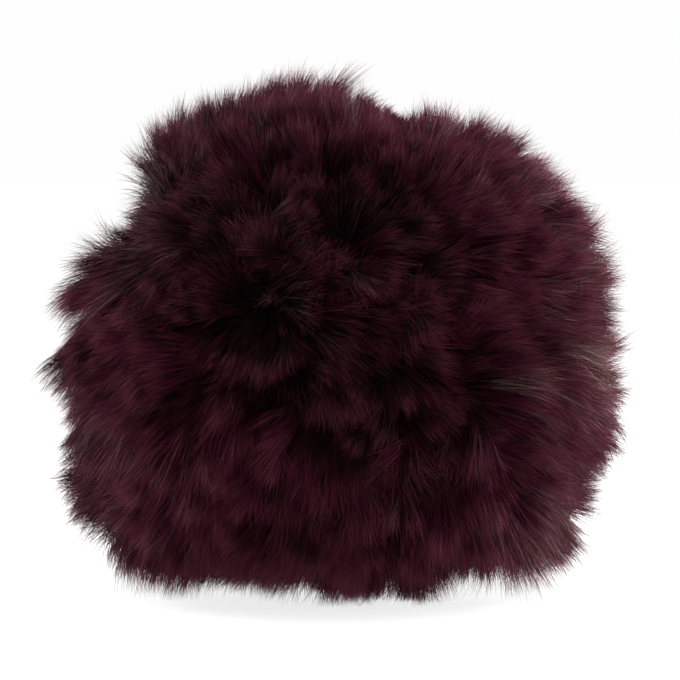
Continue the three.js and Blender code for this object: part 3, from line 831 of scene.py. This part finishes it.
def cage_tree(name):
    """Rings and curved ribs on a ball about the Y axis, with a rounded square section."""
    tree, graph, given = new_tree(
        name, ["Ball Radius", "Bar Width", "Bar Depth", "First Ring", "Ring Step", "Rib Start",
               "Rib End", "Edge Ring", "Side"],
        Rings="Int", Ribs="Int", Material="Material")

    def strips(count, around):
        """A strip of mesh for each bar: across is round its section, and run is along it."""
        index = graph.add("GeometryNodeInputIndex")
        points = graph.add("GeometryNodePoints", {"Count": count})
        points = graph.store(points, "bar", index)
        sheet = graph.add("GeometryNodeMeshGrid", {
            "Size X": 1.0, "Size Y": 1.0, "Vertices X": around, "Vertices Y": 13})
        sheet = graph.store(sheet, "spot", sheet.other("UV Map"))
        return graph.copies(points, sheet)

    run, across, _ = graph.parts(graph.arrow("spot"))
    bar = graph.named("bar")
    sine, cosine = graph.swing(across * (2 * math.pi))
    square = (sine ** 4.0 + cosine ** 4.0) ** -0.25
    wide = cosine * square * given("Bar Width") * 0.5
    deep = sine * square * given("Bar Depth") * 0.5
    middle = given("Ball Radius") - given("Bar Depth") * 0.5

    def place(reach, lean, turn):
        """A place on the bars: reach from the ball's middle, leaning from the pole, and turned."""
        lean_sine, lean_cosine = graph.swing(lean)
        turn_sine, turn_cosine = graph.swing(turn)
        return graph.triple(reach * lean_sine * turn_cosine,
                            reach * lean_cosine * given("Side") + CENTRE.y,
                            reach * lean_sine * turn_sine + CENTRE.z)

    tilt = graph.sum("MINIMUM", given("First Ring") + given("Ring Step") * bar,
                     given("Edge Ring")) + wide / middle
    rings = graph.add("GeometryNodeSetPosition", {
        "Geometry": strips(given("Rings") + 1, 97),
        "Position": place(middle + deep, tilt, run * (2 * math.pi))})

    inside = graph.sum("GREATER_THAN", run, 0.01) * graph.sum("LESS_THAN", run, 0.99)
    share = graph.clamp((run - 1 / 26) / (1 - 2 / 26), 0.0, 1.0)
    lean = given("Rib Start") + (given("Rib End") - given("Rib Start")) * share
    turn = (bar + 0.5) * (2 * math.pi) / given("Ribs")
    turn_sine, turn_cosine = graph.swing(turn)
    aside = wide * inside
    ribs = graph.add("GeometryNodeSetPosition", {
        "Geometry": strips(given("Ribs"), 27),
        "Position": place(middle + deep * inside, lean, turn)
        + graph.triple(x=turn_sine * aside * -1, z=turn_cosine * aside)})
    cage = graph.add("GeometryNodeMergeByDistance", {
        "Geometry": graph.join(rings, ribs), "Distance": 0.02 * MM})
    graph.finish(cage, given("Material"), "spot", "bar")
    return tree


def gauze_dome(name, first, side):
    """Two walls of gauze on a ball, closed at both edges, with a UV map laid out from the pole."""
    outline = arc(GAUZE_OUTSIDE, first, GAUZE_EDGE, 28) + arc(GAUZE_INSIDE, GAUZE_EDGE, first, 28)
    outline = [(radius, side * along) for radius, along in outline]
    return turned(name, outline, rounding=0, sharp=50, from_pole=True)


def screw_places():
    half = SCREW_CIRCLE / math.sqrt(2)
    return [(x * half, z * half) for x in (-1, 1) for z in (-1, 1)]


def one_screw():
    """A cylinder head screw with a domed edge and a cross recess, on the basket's axis."""
    head = turned("screw", SCREW_HEAD, 24, 0.08)
    slots = [block("slot", size, (0, SCREW_TOP, 0), 0, 0.05)
             for size in ((2.4, 1.2, 0.5), (0.5, 1.2, 2.4))]
    shank = rod_along(1.0, SCREW_TIP, SCREW_SEAT + 0.1, 16)
    return joined("screw", cut(head, *slots), shank)


def copies_tree(name):
    """Copies of an object at a ring of points, made real, with one material."""
    tree, graph, given = new_tree(name, ["Ring Radius", "First Turn"], Count="Int", Copy="Object",
                                  Material="Material")
    turn = (given("First Turn")
            + graph.add("GeometryNodeInputIndex") * (2 * math.pi) / given("Count"))
    sine, cosine = graph.swing(turn)
    points = graph.add("GeometryNodeSetPosition", {
        "Geometry": graph.add("GeometryNodePoints", {"Count": given("Count")}),
        "Position": graph.triple(x=cosine * given("Ring Radius"), z=sine * given("Ring Radius"))})
    copy = graph.add("GeometryNodeObjectInfo", {"Object": given("Copy")}, "Geometry")
    graph.finish(graph.copies(points, copy), given("Material"))
    return tree


# ---------------------------------------------------------------- jacket's cloth

def jacket_cloth():
    """The knitted cloth that carries the fur: a round front, a gathered back and a hem edge."""
    def gathers(turn, radius, along):
        slack = min(max((along - GATHERS_FROM) / 18, 0), 1)
        puff = 0.28 * slack * math.sin(turn * 44) + 0.12 * slack * math.sin(turn * 19 + 1)
        return radius + max(puff, -0.1), along

    outline = CLOTH_HEM_OUTSIDE + arc(CLOTH_OUTSIDE, 34.5, CLOTH_END, 60)
    outline += arc(CLOTH_INSIDE, CLOTH_END, 34, 60) + CLOTH_HEM_INSIDE
    return turned("jacket_cloth", outline, 176, 0, gathers, 60)


def seam_paths():
    """The jacket's seams inside the cloth: four from the front pole, and one round the back."""
    reach = CLOTH_INSIDE * MM - 0.1 * MM
    paths = []
    for i in range(4):
        leans = [math.radians(176 - k * (176 - 42) / 48) for k in range(49)]
        paths.append([on_ball(reach, lean, FIRST_SEAM + i * math.pi / 2) for lean in leans])
    round_back = math.acos(BACK_SEAM / 51)
    paths.append([on_ball(reach, round_back, 2 * math.pi * k / 96) for k in range(97)])
    return paths


def tape_along(name, paths, width, thickness):
    """A flat tape on the inside of each path, with its own map: across it, then along it."""
    section = [(-0.5, 0), (0.5, 0), (0.5, 0.6), (0.46, 1), (-0.46, 1), (-0.5, 0.6)]
    sides = len(section)
    form = bmesh.new()
    wrap = form.loops.layers.uv.new("wrap")
    for path in paths:
        closed = (path[0] - path[-1]).length < 1e-6
        places = path[:-1] if closed else path
        rings, run, runs = [], 0.0, []
        for i, place in enumerate(places):
            before = places[i - 1] if i or closed else place
            after = places[(i + 1) % len(places)] if i + 1 < len(places) or closed else place
            inward = (CENTRE - place).normalized()
            aside = (after - before).normalized().cross(inward)
            rings.append([form.verts.new(place + aside * (x * width) + inward * (y * thickness))
                          for x, y in section])
            runs.append(run)
            run += (after - place).length
        count = len(rings)
        for i in range(count if closed else count - 1):
            k = (i + 1) % count
            far = runs[i] + (places[k] - places[i]).length
            for j in range(sides):
                m = (j + 1) % sides
                face = form.faces.new((rings[i][j], rings[i][m], rings[k][m], rings[k][j]))
                corners = ((j, runs[i]), (j + 1, runs[i]), (j + 1, far), (j, far))
                for loop, (across, along) in zip(face.loops, corners):
                    loop[wrap].uv = (across * width, along)
        if not closed:
            form.faces.new(rings[0])
            form.faces.new(rings[-1])
    return plain(object_of(form, name))


def stitch_tree(name):
    """Two rows of stitches along each path, on the tape."""
    tree, graph, given = new_tree(name, ["Row Offset", "Lift", "Stitch Spacing", "Stitch Radius"],
                                  Middle="Vector", Thread="Material")
    paths = graph.add("GeometryNodeMeshToCurve", {"Mesh": given("Geometry")})
    place = graph.add("GeometryNodeInputPosition")
    inward = graph.sum("NORMALIZE", given("Middle") - place)
    aside = graph.sum("CROSS_PRODUCT", graph.add("GeometryNodeInputTangent"), inward)
    stitch = graph.add("GeometryNodeMeshIcoSphere", {
        "Radius": given("Stitch Radius"), "Subdivisions": 1}, "Mesh")
    stitch = graph.add("GeometryNodeTransform", {"Geometry": stitch, "Scale": (1, 1, 3.6)})
    rows = []
    for way in (-1, 1):
        line = graph.add("GeometryNodeSetPosition", {
            "Geometry": paths,
            "Offset": aside * (given("Row Offset") * way) + inward * given("Lift")})
        points = graph.add("GeometryNodeCurveToPoints", {
            "Curve": line, "Length": given("Stitch Spacing")}, "Points", mode="LENGTH")
        rows.append(graph.copies(points, stitch, Rotation=points.other("Rotation")))
    graph.finish(graph.join(*rows), given("Thread"))
    return tree


def stitches_on(paths, settings, thickness, thread):
    """The jacket's stitches, on tapes of some thickness along the paths."""
    points, edges = [], []
    for path in paths:
        edges += [(len(points) + i, len(points) + i + 1) for i in range(len(path) - 1)]
        points += path
    host = new_object("seams", points, edges=edges)
    stitches = grown(host, stitch_tree("tape_stitches"), {
        "Row Offset": settings.tape_width * 0.32, "Lift": thickness,
        "Stitch Spacing": settings.stitch_spacing, "Stitch Radius": STITCH_RADIUS,
        "Middle": CENTRE, "Thread": thread}, "seam_stitches")
    discard(host)
    stitches.data.shade_smooth()
    return stitches


def puckers(turn, radius, along):
    """The hem binding drawn up by its elastic."""
    slack = (radius - 22.3) / 3.2
    return radius + 0.18 * slack * math.sin(turn * 46) - 0.1 * slack, along


# ---------------------------------------------------------------- finishes

def new_material(name):
    material = bpy.data.materials.new(name)
    material.use_nodes = True
    return material, Graph(material.node_tree)


def surface(graph, colour, roughness, height=None, depth=0, **sockets):
    """Ends a material in a Principled shader, with a bump of some depth in millimetres."""
    inputs = {"Base Color": colour, "Roughness": roughness}
    inputs.update({key.replace("_", " "): value for key, value in sockets.items()})
    if height:
        inputs["Normal"] = graph.add("ShaderNodeBump", {
            "Strength": 1.0, "Distance": depth * MM, "Height": height}, "Normal")
    shader = graph.add("ShaderNodeBsdfPrincipled", inputs)
    graph.add("ShaderNodeOutputMaterial", {"Surface": shader})


def cloud(graph, scale, detail=3.0):
    """Soft noise through the piece."""
    place = graph.add("ShaderNodeTexCoord", {}, "Object")
    return graph.add("ShaderNodeTexNoise", {"Vector": place, "Scale": scale, "Detail": detail}, 0)


def on_map(graph):
    """Where a point lies across and along the piece's own map, in metres."""
    return graph.parts(graph.add("ShaderNodeUVMap", uv_map="wrap"))[:2]


def waves(graph, place, pitch):
    return graph.sum("SINE", place * (math.pi / pitch))


def darker(colour, share):
    return tuple(c * share for c in colour)


def paler(colour, share, more):
    return tuple(min(c * share + more, 1) for c in colour)


def moulded_plastic(name, colour, roughness):
    """Moulded nylon with a fine spark texture, faint flow marks and a few rubbed patches."""
    material, graph = new_material(name)
    grain = cloud(graph, 3200.0, 2.0)
    flow = cloud(graph, 60.0)
    rubbed = graph.step(cloud(graph, 140.0, 6.0), 0.56, 0.72)
    tone = graph.blend(graph.step(flow, 0.35, 0.65) * 0.35 + rubbed * 0.4, colour,
                       paler(colour, 1.9, 0.01))
    surface(graph, tone, roughness + grain * 0.14 - rubbed * 0.12, grain + flow * 0.4, 0.05,
            Specular_IOR_Level=0.3)
    return material


def moulded_rubber(name, colour):
    """Soft matt rubber with a bloom of pale dust."""
    material, graph = new_material(name)
    dust = graph.step(cloud(graph, 420.0, 8.0), 0.52, 0.75)
    tone = graph.blend(dust * 0.6, colour, paler(colour, 2.2, 0.012))
    surface(graph, tone, 0.72 + dust * 0.15, cloud(graph, 2400.0, 2.0), 0.04,
            Specular_IOR_Level=0.35)
    return material


def woven(name, colour, pitch, depth, holes=0.0):
    """Woven cloth, with painted shade where the threads dip; in open gauze the holes between the threads
    let light through.
    """
    material, graph = new_material(name)
    across, along = on_map(graph)
    warp, weft = waves(graph, across, pitch), waves(graph, along, pitch)
    over = warp * weft * 0.5 + 0.5
    height = graph.sum("MAXIMUM", graph.sum("ABSOLUTE", warp) * over,
                       graph.sum("ABSOLUTE", weft) * (1 - over))
    uneven = cloud(graph, 260.0) - 0.5
    # Painted shade: darker where the threads dip into the hollows of the weave, on top of an uneven tone.
    tone = graph.blend(graph.step(height + uneven * 0.5, 0.1, 0.85), darker(colour, 0.3), colour)
    more = {"Alpha": 1 - (1 - graph.step(height, 0.1, 0.35)) * holes} if holes else {}
    surface(graph, tone, 0.9 - height * 0.15, height, depth, Specular_IOR_Level=0.25, **more)
    return material


def knitted(name, colour):
    """Knitted backing: columns of small loops, with painted shade between them."""
    material, graph = new_material(name)
    across, along = on_map(graph)
    column = graph.sum("ABSOLUTE", waves(graph, across, KNIT_COLUMN))
    loop = graph.sum("SINE", along * (2 * math.pi / KNIT_LOOP) + column * 2.4)
    height = column * 0.5 + loop * 0.25 + 0.25
    uneven = cloud(graph, 180.0) - 0.5
    # Painted shade: darker in the hollows between the loops, on top of an uneven tone.
    tone = graph.blend(graph.step(height + uneven * 0.4, 0.15, 0.9), darker(colour, 0.35), colour)
    surface(graph, tone, 0.92, height, 0.12, Specular_IOR_Level=0.2)
    return material


def ribbed_elastic(name, colour):
    """Elastic webbing with fine lengthwise cords, and painted shade in the grooves between them."""
    material, graph = new_material(name)
    across, along = on_map(graph)
    cords = waves(graph, along, ELASTIC_CORD / 2) * 0.5 + 0.5
    picks = waves(graph, across, ELASTIC_PICK / 2) * 0.5 + 0.5
    height = cords * 0.7 + picks * 0.3
    # Painted shade: darker in the grooves between the cords and picks.
    surface(graph, graph.blend(height, darker(colour, 0.4), colour), 0.8, height, 0.15)
    return material


def turned_steel(name):
    """Plain steel with fine turning marks and dull spots."""
    material, graph = new_material(name)
    dull = graph.step(cloud(graph, 500.0, 4.0), 0.5, 0.75)
    tone = graph.blend(dull, (0.24, 0.24, 0.235), (0.14, 0.135, 0.13))
    surface(graph, tone, 0.4 + dull * 0.25, cloud(graph, 1800.0, 2.0), 0.02, Metallic=1.0)
    return material


# ---------------------------------------------------------------- settings

def size(name, description, default, **more):
    return bpy.props.FloatProperty(name=name, description=description, default=default,
                                   subtype="DISTANCE", unit="LENGTH", precision=5, **more)


def colour(name, description, default):
    return bpy.props.FloatVectorProperty(name=name, description=description, default=default,
                                         subtype="COLOR", min=0, max=1)


class FurSettings(bpy.types.PropertyGroup):
    """Sizes and colours of the fur."""

    pile_height: size("Pile height", "How far the tips stand above the cloth", 0.0185)
    hair_width: size("Hair width", "Breadth of a guard hair", 0.00016)
    lock_size: size("Lock size", "Width of the locks that several tufts make", 0.014)
    tuft_size: size("Tuft size", "Width of a tuft at the cloth", 0.0075)
    wisp_size: size("Wisp size", "Width of the wisps within a tuft", 0.0028)
    frizz: size("Frizz", "How far a hair strays from its tuft", 0.0011)
    shadow_dye: colour("Shadow hair", "Darkest of the dyed hairs", (0.011, 0.0018, 0.0030))
    wine_dye: colour("Wine hair", "Most of the hairs", (0.033, 0.0030, 0.0092))
    plum_dye: colour("Plum hair", "Purplest of the hairs", (0.036, 0.0034, 0.0155))
    ash_dye: colour("Ash hair", "Brown-grey hairs", (0.036, 0.0165, 0.0140))
    # Painted light: the tips' paler colour stands in for light shining through the thin ends of the
    # hairs.
    glowing_tip_dye: colour("Tips", "Worn ends of the hairs", (0.13, 0.026, 0.046))


class BasketSettings(bpy.types.PropertyGroup):
    """Sizes and colours of the basket, the collar and the gland."""

    ball_radius: size("Ball radius", "Outside of the cage", 0.05)
    bar_width: size("Bar width", "Breadth of the cage's bars", 0.0024)
    bar_depth: size("Bar depth", "Thickness of the cage's bars", 0.0022)
    ribs: bpy.props.IntProperty(name="Ribs", description="Ribs of each half", default=8)
    weave_pitch: size("Gauze pitch", "Thread spacing of the gauze", 0.0008)
    cage_colour: colour("Cage", "Moulded nylon of the cage", (0.009, 0.009, 0.0095))
    rim_colour: colour("Rims", "Moulded plastic of rims, collar and plate", (0.012, 0.012, 0.0125))
    gauze_colour: colour("Gauze", "Woven gauze inside the cage", (0.04, 0.04, 0.042))
    rubber_colour: colour("Rubber", "Gland and gasket", (0.007, 0.007, 0.007))


class JacketSettings(bpy.types.PropertyGroup):
    """Sizes and colours of the jacket's cloth and hem."""

    tape_width: size("Seam tape width", "Tape over the seams inside the jacket", 0.007)
    stitch_spacing: size("Stitch spacing", "From one stitch to the next", 0.0026)
    backing_colour: colour("Backing", "Knitted cloth that the hair grows from", (0.05, 0.012, 0.018))
    tape_colour: colour("Tape", "Seam tape and hem binding", (0.03, 0.012, 0.015))
    thread_colour: colour("Thread", "Stitches", (0.09, 0.03, 0.04))
    elastic_colour: colour("Elastic", "Webbing in the hem", (0.03, 0.016, 0.018))


class StageSettings(bpy.types.PropertyGroup):
    """Camera and lights."""

    distance: size("Camera distance", "Camera to the middle of the ball", 1.1)
    lens: bpy.props.FloatProperty(name="Lens", description="Focal length", default=231.7,
                                  subtype="DISTANCE_CAMERA")


# ---------------------------------------------------------------- operators

class WINDSCREEN_OT_fur(bpy.types.Operator):
    """Grow the fur of the four gores and the back panel"""

    bl_idname = "windscreen.fur"
    bl_label = "Fur"

    def execute(self, context):
        settings = context.scene.windscreen_fur
        material = fur_material("dyed_fur", settings)
        tree = fur_tree("long_pile")
        thick, fine = hair_blade(4), hair_blade(3)
        same = {"Lock Size": settings.lock_size, "Lock Pull": 0.22, "Tuft Size": settings.tuft_size,
                "Wisp Size": settings.wisp_size, "Droop": 0.05, "Material": material}
        coats = {
            "guard": {"Hair": thick, "Density": 3.1e6, "Width": settings.hair_width, "Length": 1.0,
                      "Tuft Pull": 0.7, "Wisp Pull": 0.72, "Frizz": settings.frizz, "Seed": 3},
            "under": {"Hair": fine, "Density": 4.4e6, "Width": settings.hair_width * 0.85,
                      "Length": 0.9, "Tuft Pull": 0.55, "Wisp Pull": 0.6,
                      "Frizz": settings.frizz * 1.2, "Seed": 11},
        }
        for node, cloth in fur_backing(settings):
            for coat, sizes in coats.items():
                piece = grown(cloth, tree, {**same, **sizes}, f"{node}_{coat}_hair")
                finish_piece(piece, material, "jacket", "fur", node)
            discard(cloth)
        discard(thick, fine)
        return {"FINISHED"}


class WINDSCREEN_OT_cages(bpy.types.Operator):
    """Make the two halves of the cage, each from its rings and ribs"""

    bl_idname = "windscreen.cages"
    bl_label = "Cages"

    def execute(self, context):
        settings = context.scene.windscreen_basket
        nylon = moulded_plastic("cage_nylon", settings.cage_colour, 0.36)
        tree = cage_tree("cage_bars")
        for half, cage in CAGES.items():
            host = new_object("host", [(0, 0, 0)])
            bars = grown(host, tree, {
                "Ball Radius": settings.ball_radius, "Bar Width": settings.bar_width,
                "Bar Depth": settings.bar_depth, "Rings": cage["rings"],
                "First Ring": math.radians(cage["first_ring"]),
                "Ring Step": math.radians(cage["ring_step"]), "Ribs": settings.ribs,
                "Rib Start": math.radians(cage["rib_start"]), "Rib End": CAGE_EDGE,
                "Edge Ring": CAGE_EDGE, "Side": cage["side"], "Material": nylon}, "bars")
            discard(host)
            pieces = [bars, turned("boss", BOSS, 48, 0.1)] if half == "front" else [bars]
            finish_piece(joined(f"{half}_cage_bars", *pieces, sharp=50), nylon, f"{half}_basket",
                         "cage_plastic", f"{half}_cage")
        return {"FINISHED"}


class WINDSCREEN_OT_gauze(bpy.types.Operator):
    """Make the gauze domes and the hoops that hold them"""

    bl_idname = "windscreen.gauze"
    bl_label = "Gauze"

    def execute(self, context):
        settings = context.scene.windscreen_basket
        cloth = woven("open_gauze", settings.gauze_colour, settings.weave_pitch, 0.12, 0.55)
        plastic = moulded_plastic("hoop_plastic", settings.rim_colour, 0.4)
        for half, first, side in (("front", 0, -1), ("rear", GAUZE_OPENING, 1)):
            finish_piece(gauze_dome(f"{half}_gauze_dome", first, side), cloth, f"{half}_basket",
                         "gauze", f"{half}_gauze")
        for half, side in (("front", -1), ("rear", 1)):
            outline = [(radius, side * along) for radius, along in REAR_HOOP]
            finish_piece(turned(f"{half}_gauze_hoop_ring", outline), plastic, f"{half}_basket",
                         "rim_plastic", f"{half}_gauze_hoop")
        return {"FINISHED"}


class WINDSCREEN_OT_joint(bpy.types.Operator):
    """Make the rims that plug together, their snap beads and the gasket"""

    bl_idname = "windscreen.joint"
    bl_label = "Joint"

    def execute(self, context):
        settings = context.scene.windscreen_basket
        plastic = moulded_plastic("rim_nylon", settings.rim_colour, 0.4)
        rubber = moulded_rubber("soft_gasket", settings.rubber_colour)
        beads = [block("bead", (1.6, 1.4, 7), (46.6, 3.6, 0), 2 * math.pi * i / 3, 0.3)
                 for i in range(3)]
        finish_piece(joined("front_rim_band", turned("band", FRONT_RIM), *beads), plastic,
                     "front_basket", "rim_plastic", "front_rim")
        finish_piece(turned("rear_rim_band", REAR_RIM), plastic, "rear_basket", "rim_plastic",
                     "rear_rim")
        finish_piece(turned("joint_gasket_ring", GASKET, rounding=0.12), rubber, "rear_basket",
                     "gasket_rubber", "joint_gasket")
        return {"FINISHED"}


class WINDSCREEN_OT_collar(bpy.types.Operator):
    """Make the collar, the rubber gland, the clamping plate and its screws"""

    bl_idname = "windscreen.collar"
    bl_label = "Collar"

    def execute(self, context):
        settings = context.scene.windscreen_basket
        plastic = moulded_plastic("collar_nylon", settings.rim_colour, 0.42)
        rubber = moulded_rubber("soft_gland", settings.rubber_colour)
        steel = turned_steel("turned_screw")
        finish_piece(turned("collar_ring", COLLAR, 128, 0.35), plastic, "rear_basket",
                     "rim_plastic", "collar")
        finish_piece(turned("gland_sleeve", GLAND, 96, 0.4), rubber, "rear_basket",
                     "gland_rubber", "microphone_gland")
        holes = [rod_along(radius, first, PLATE_CUT_END, 32, x, z) for x, z in screw_places()
                 for radius, first in ((2.1, SCREW_SEAT - 0.15), (1.2, PLATE_CUT_START))]
        plate = cut(turned("gland_plate_ring", GLAND_PLATE, rounding=0), *holes)
        finish_piece(plain(rounded(plate, 0.15)), plastic, "rear_basket", "rim_plastic",
                     "gland_plate")
        screw, host = one_screw(), new_object("host", [(0, 0, 0)])
        screws = grown(host, copies_tree("screw_ring"), {
            "Copy": screw, "Count": 4, "Ring Radius": SCREW_CIRCLE * MM, "First Turn": math.pi / 4,
            "Material": steel}, "plate_screws")
        discard(screw, host)
        finish_piece(screws, steel, "rear_basket", "screw_steel", "plate_screw_1", "plate_screw_2",
                     "plate_screw_3", "plate_screw_4")
        return {"FINISHED"}


class WINDSCREEN_OT_jacket(bpy.types.Operator):
    """Make the jacket's backing, its seam tapes and stitches, the hem and its elastic"""

    bl_idname = "windscreen.jacket"
    bl_label = "Jacket"

    def execute(self, context):
        settings = context.scene.windscreen_jacket
        backing = knitted("knitted_backing", settings.backing_colour)
        tape = woven("seam_tape", settings.tape_colour, 0.0005, 0.1)
        binding = woven("hem_weave", settings.tape_colour, 0.0006, 0.12)
        thread = moulded_rubber("thread", settings.thread_colour)
        elastic = ribbed_elastic("elastic_webbing", settings.elastic_colour)
        finish_piece(jacket_cloth(), backing, "jacket", "fur")
        paths = seam_paths()
        finish_piece(stitches_on(paths, settings, TAPE_THICKNESS, thread), thread, "jacket",
                     "hem_tape")
        finish_piece(tape_along("seam_tapes", paths, settings.tape_width, TAPE_THICKNESS), tape,
                     "jacket", "hem_tape")
        finish_piece(turned("hem_binding_tape", HEM_BINDING, 184, 0.3, puckers, 60), binding,
                     "jacket", "hem_tape", "hem_binding")
        finish_piece(turned("hem_elastic_band", HEM_ELASTIC, rounding=0.2), elastic, "jacket",
                     "elastic_web", "hem_elastic")
        return {"FINISHED"}


class WINDSCREEN_OT_stage(bpy.types.Operator):
    """Set the floor, the lights and the camera"""

    bl_idname = "windscreen.stage"
    bl_label = "Stage"

    def execute(self, context):
        settings = context.scene.windscreen_stage
        scene = context.scene
        scene.world = bpy.data.worlds.new("studio")
        scene.world.use_nodes = True
        sky = scene.world.node_tree.nodes["Background"].inputs
        sky["Color"].default_value = (1, 1, 1, 1)
        sky["Strength"].default_value = 0.99

        floor = new_object("floor", [(-3, -3, 0), (3, -3, 0), (3, 3, 0), (-3, 3, 0)], [(0, 1, 2, 3)])
        card, graph = new_material("white_card")
        surface(graph, (0.2, 0.2, 0.2), 1.0, Specular_IOR_Level=0.0, Emission_Color=(1, 1, 1),
                Emission_Strength=0.8)
        floor.data.materials.append(card)

        for name, (place, watts) in LAMPS.items():
            light = bpy.data.lights.new(name, "AREA")
            light.size = LAMP_WIDTH
            light.energy = watts
            lamp = added(name, light)
            lamp.location = place
            lamp.rotation_euler = (CENTRE - Vector(place)).to_track_quat("-Z", "Y").to_euler()

        camera = added("camera", bpy.data.cameras.new("camera"))
        camera.data.lens = settings.lens
        camera.data.clip_start = 0.01
        camera.data.clip_end = 20
        camera.location = CENTRE + TOWARDS * settings.distance
        camera.rotation_euler = TOWARDS.to_track_quat("Z", "Y").to_euler()
        camera.data.shift_x = 0.0015
        camera.data.shift_y = -0.0066
        scene.camera = camera
        scene.view_settings.view_transform = "Standard"
        return {"FINISHED"}


class WINDSCREEN_PT_panel(bpy.types.Panel):
    """Sizes, colours and the steps that build the windscreen"""

    bl_label = "Furry Windscreen"
    bl_idname = "WINDSCREEN_PT_panel"
    bl_space_type = "VIEW_3D"
    bl_region_type = "UI"
    bl_category = "Windscreen"

    def draw(self, context):
        for group in GROUPS:
            settings = getattr(context.scene, group)
            for name in settings.__annotations__:
                self.layout.prop(settings, name)
        for operator in OPERATORS:
            self.layout.operator(operator.bl_idname)


OPERATORS = [WINDSCREEN_OT_cages, WINDSCREEN_OT_gauze, WINDSCREEN_OT_joint, WINDSCREEN_OT_collar,
             WINDSCREEN_OT_jacket, WINDSCREEN_OT_fur, WINDSCREEN_OT_stage]
GROUPS = {"windscreen_basket": BasketSettings, "windscreen_jacket": JacketSettings,
          "windscreen_fur": FurSettings, "windscreen_stage": StageSettings}


def register():
    for kind in (*GROUPS.values(), *OPERATORS, WINDSCREEN_PT_panel):
        bpy.utils.register_class(kind)
    for name, kind in GROUPS.items():
        setattr(bpy.types.Scene, name, bpy.props.PointerProperty(type=kind))


def unregister():
    for name in GROUPS:
        delattr(bpy.types.Scene, name)
    for kind in (WINDSCREEN_PT_panel, *reversed(OPERATORS), *GROUPS.values()):
        bpy.utils.unregister_class(kind)


def main():
    register()
    bpy.ops.windscreen.cages()
    bpy.ops.windscreen.gauze()
    bpy.ops.windscreen.joint()
    bpy.ops.windscreen.collar()
    bpy.ops.windscreen.jacket()
    bpy.ops.windscreen.fur()
    bpy.ops.windscreen.stage()


if __name__ == "__main__":
    main()
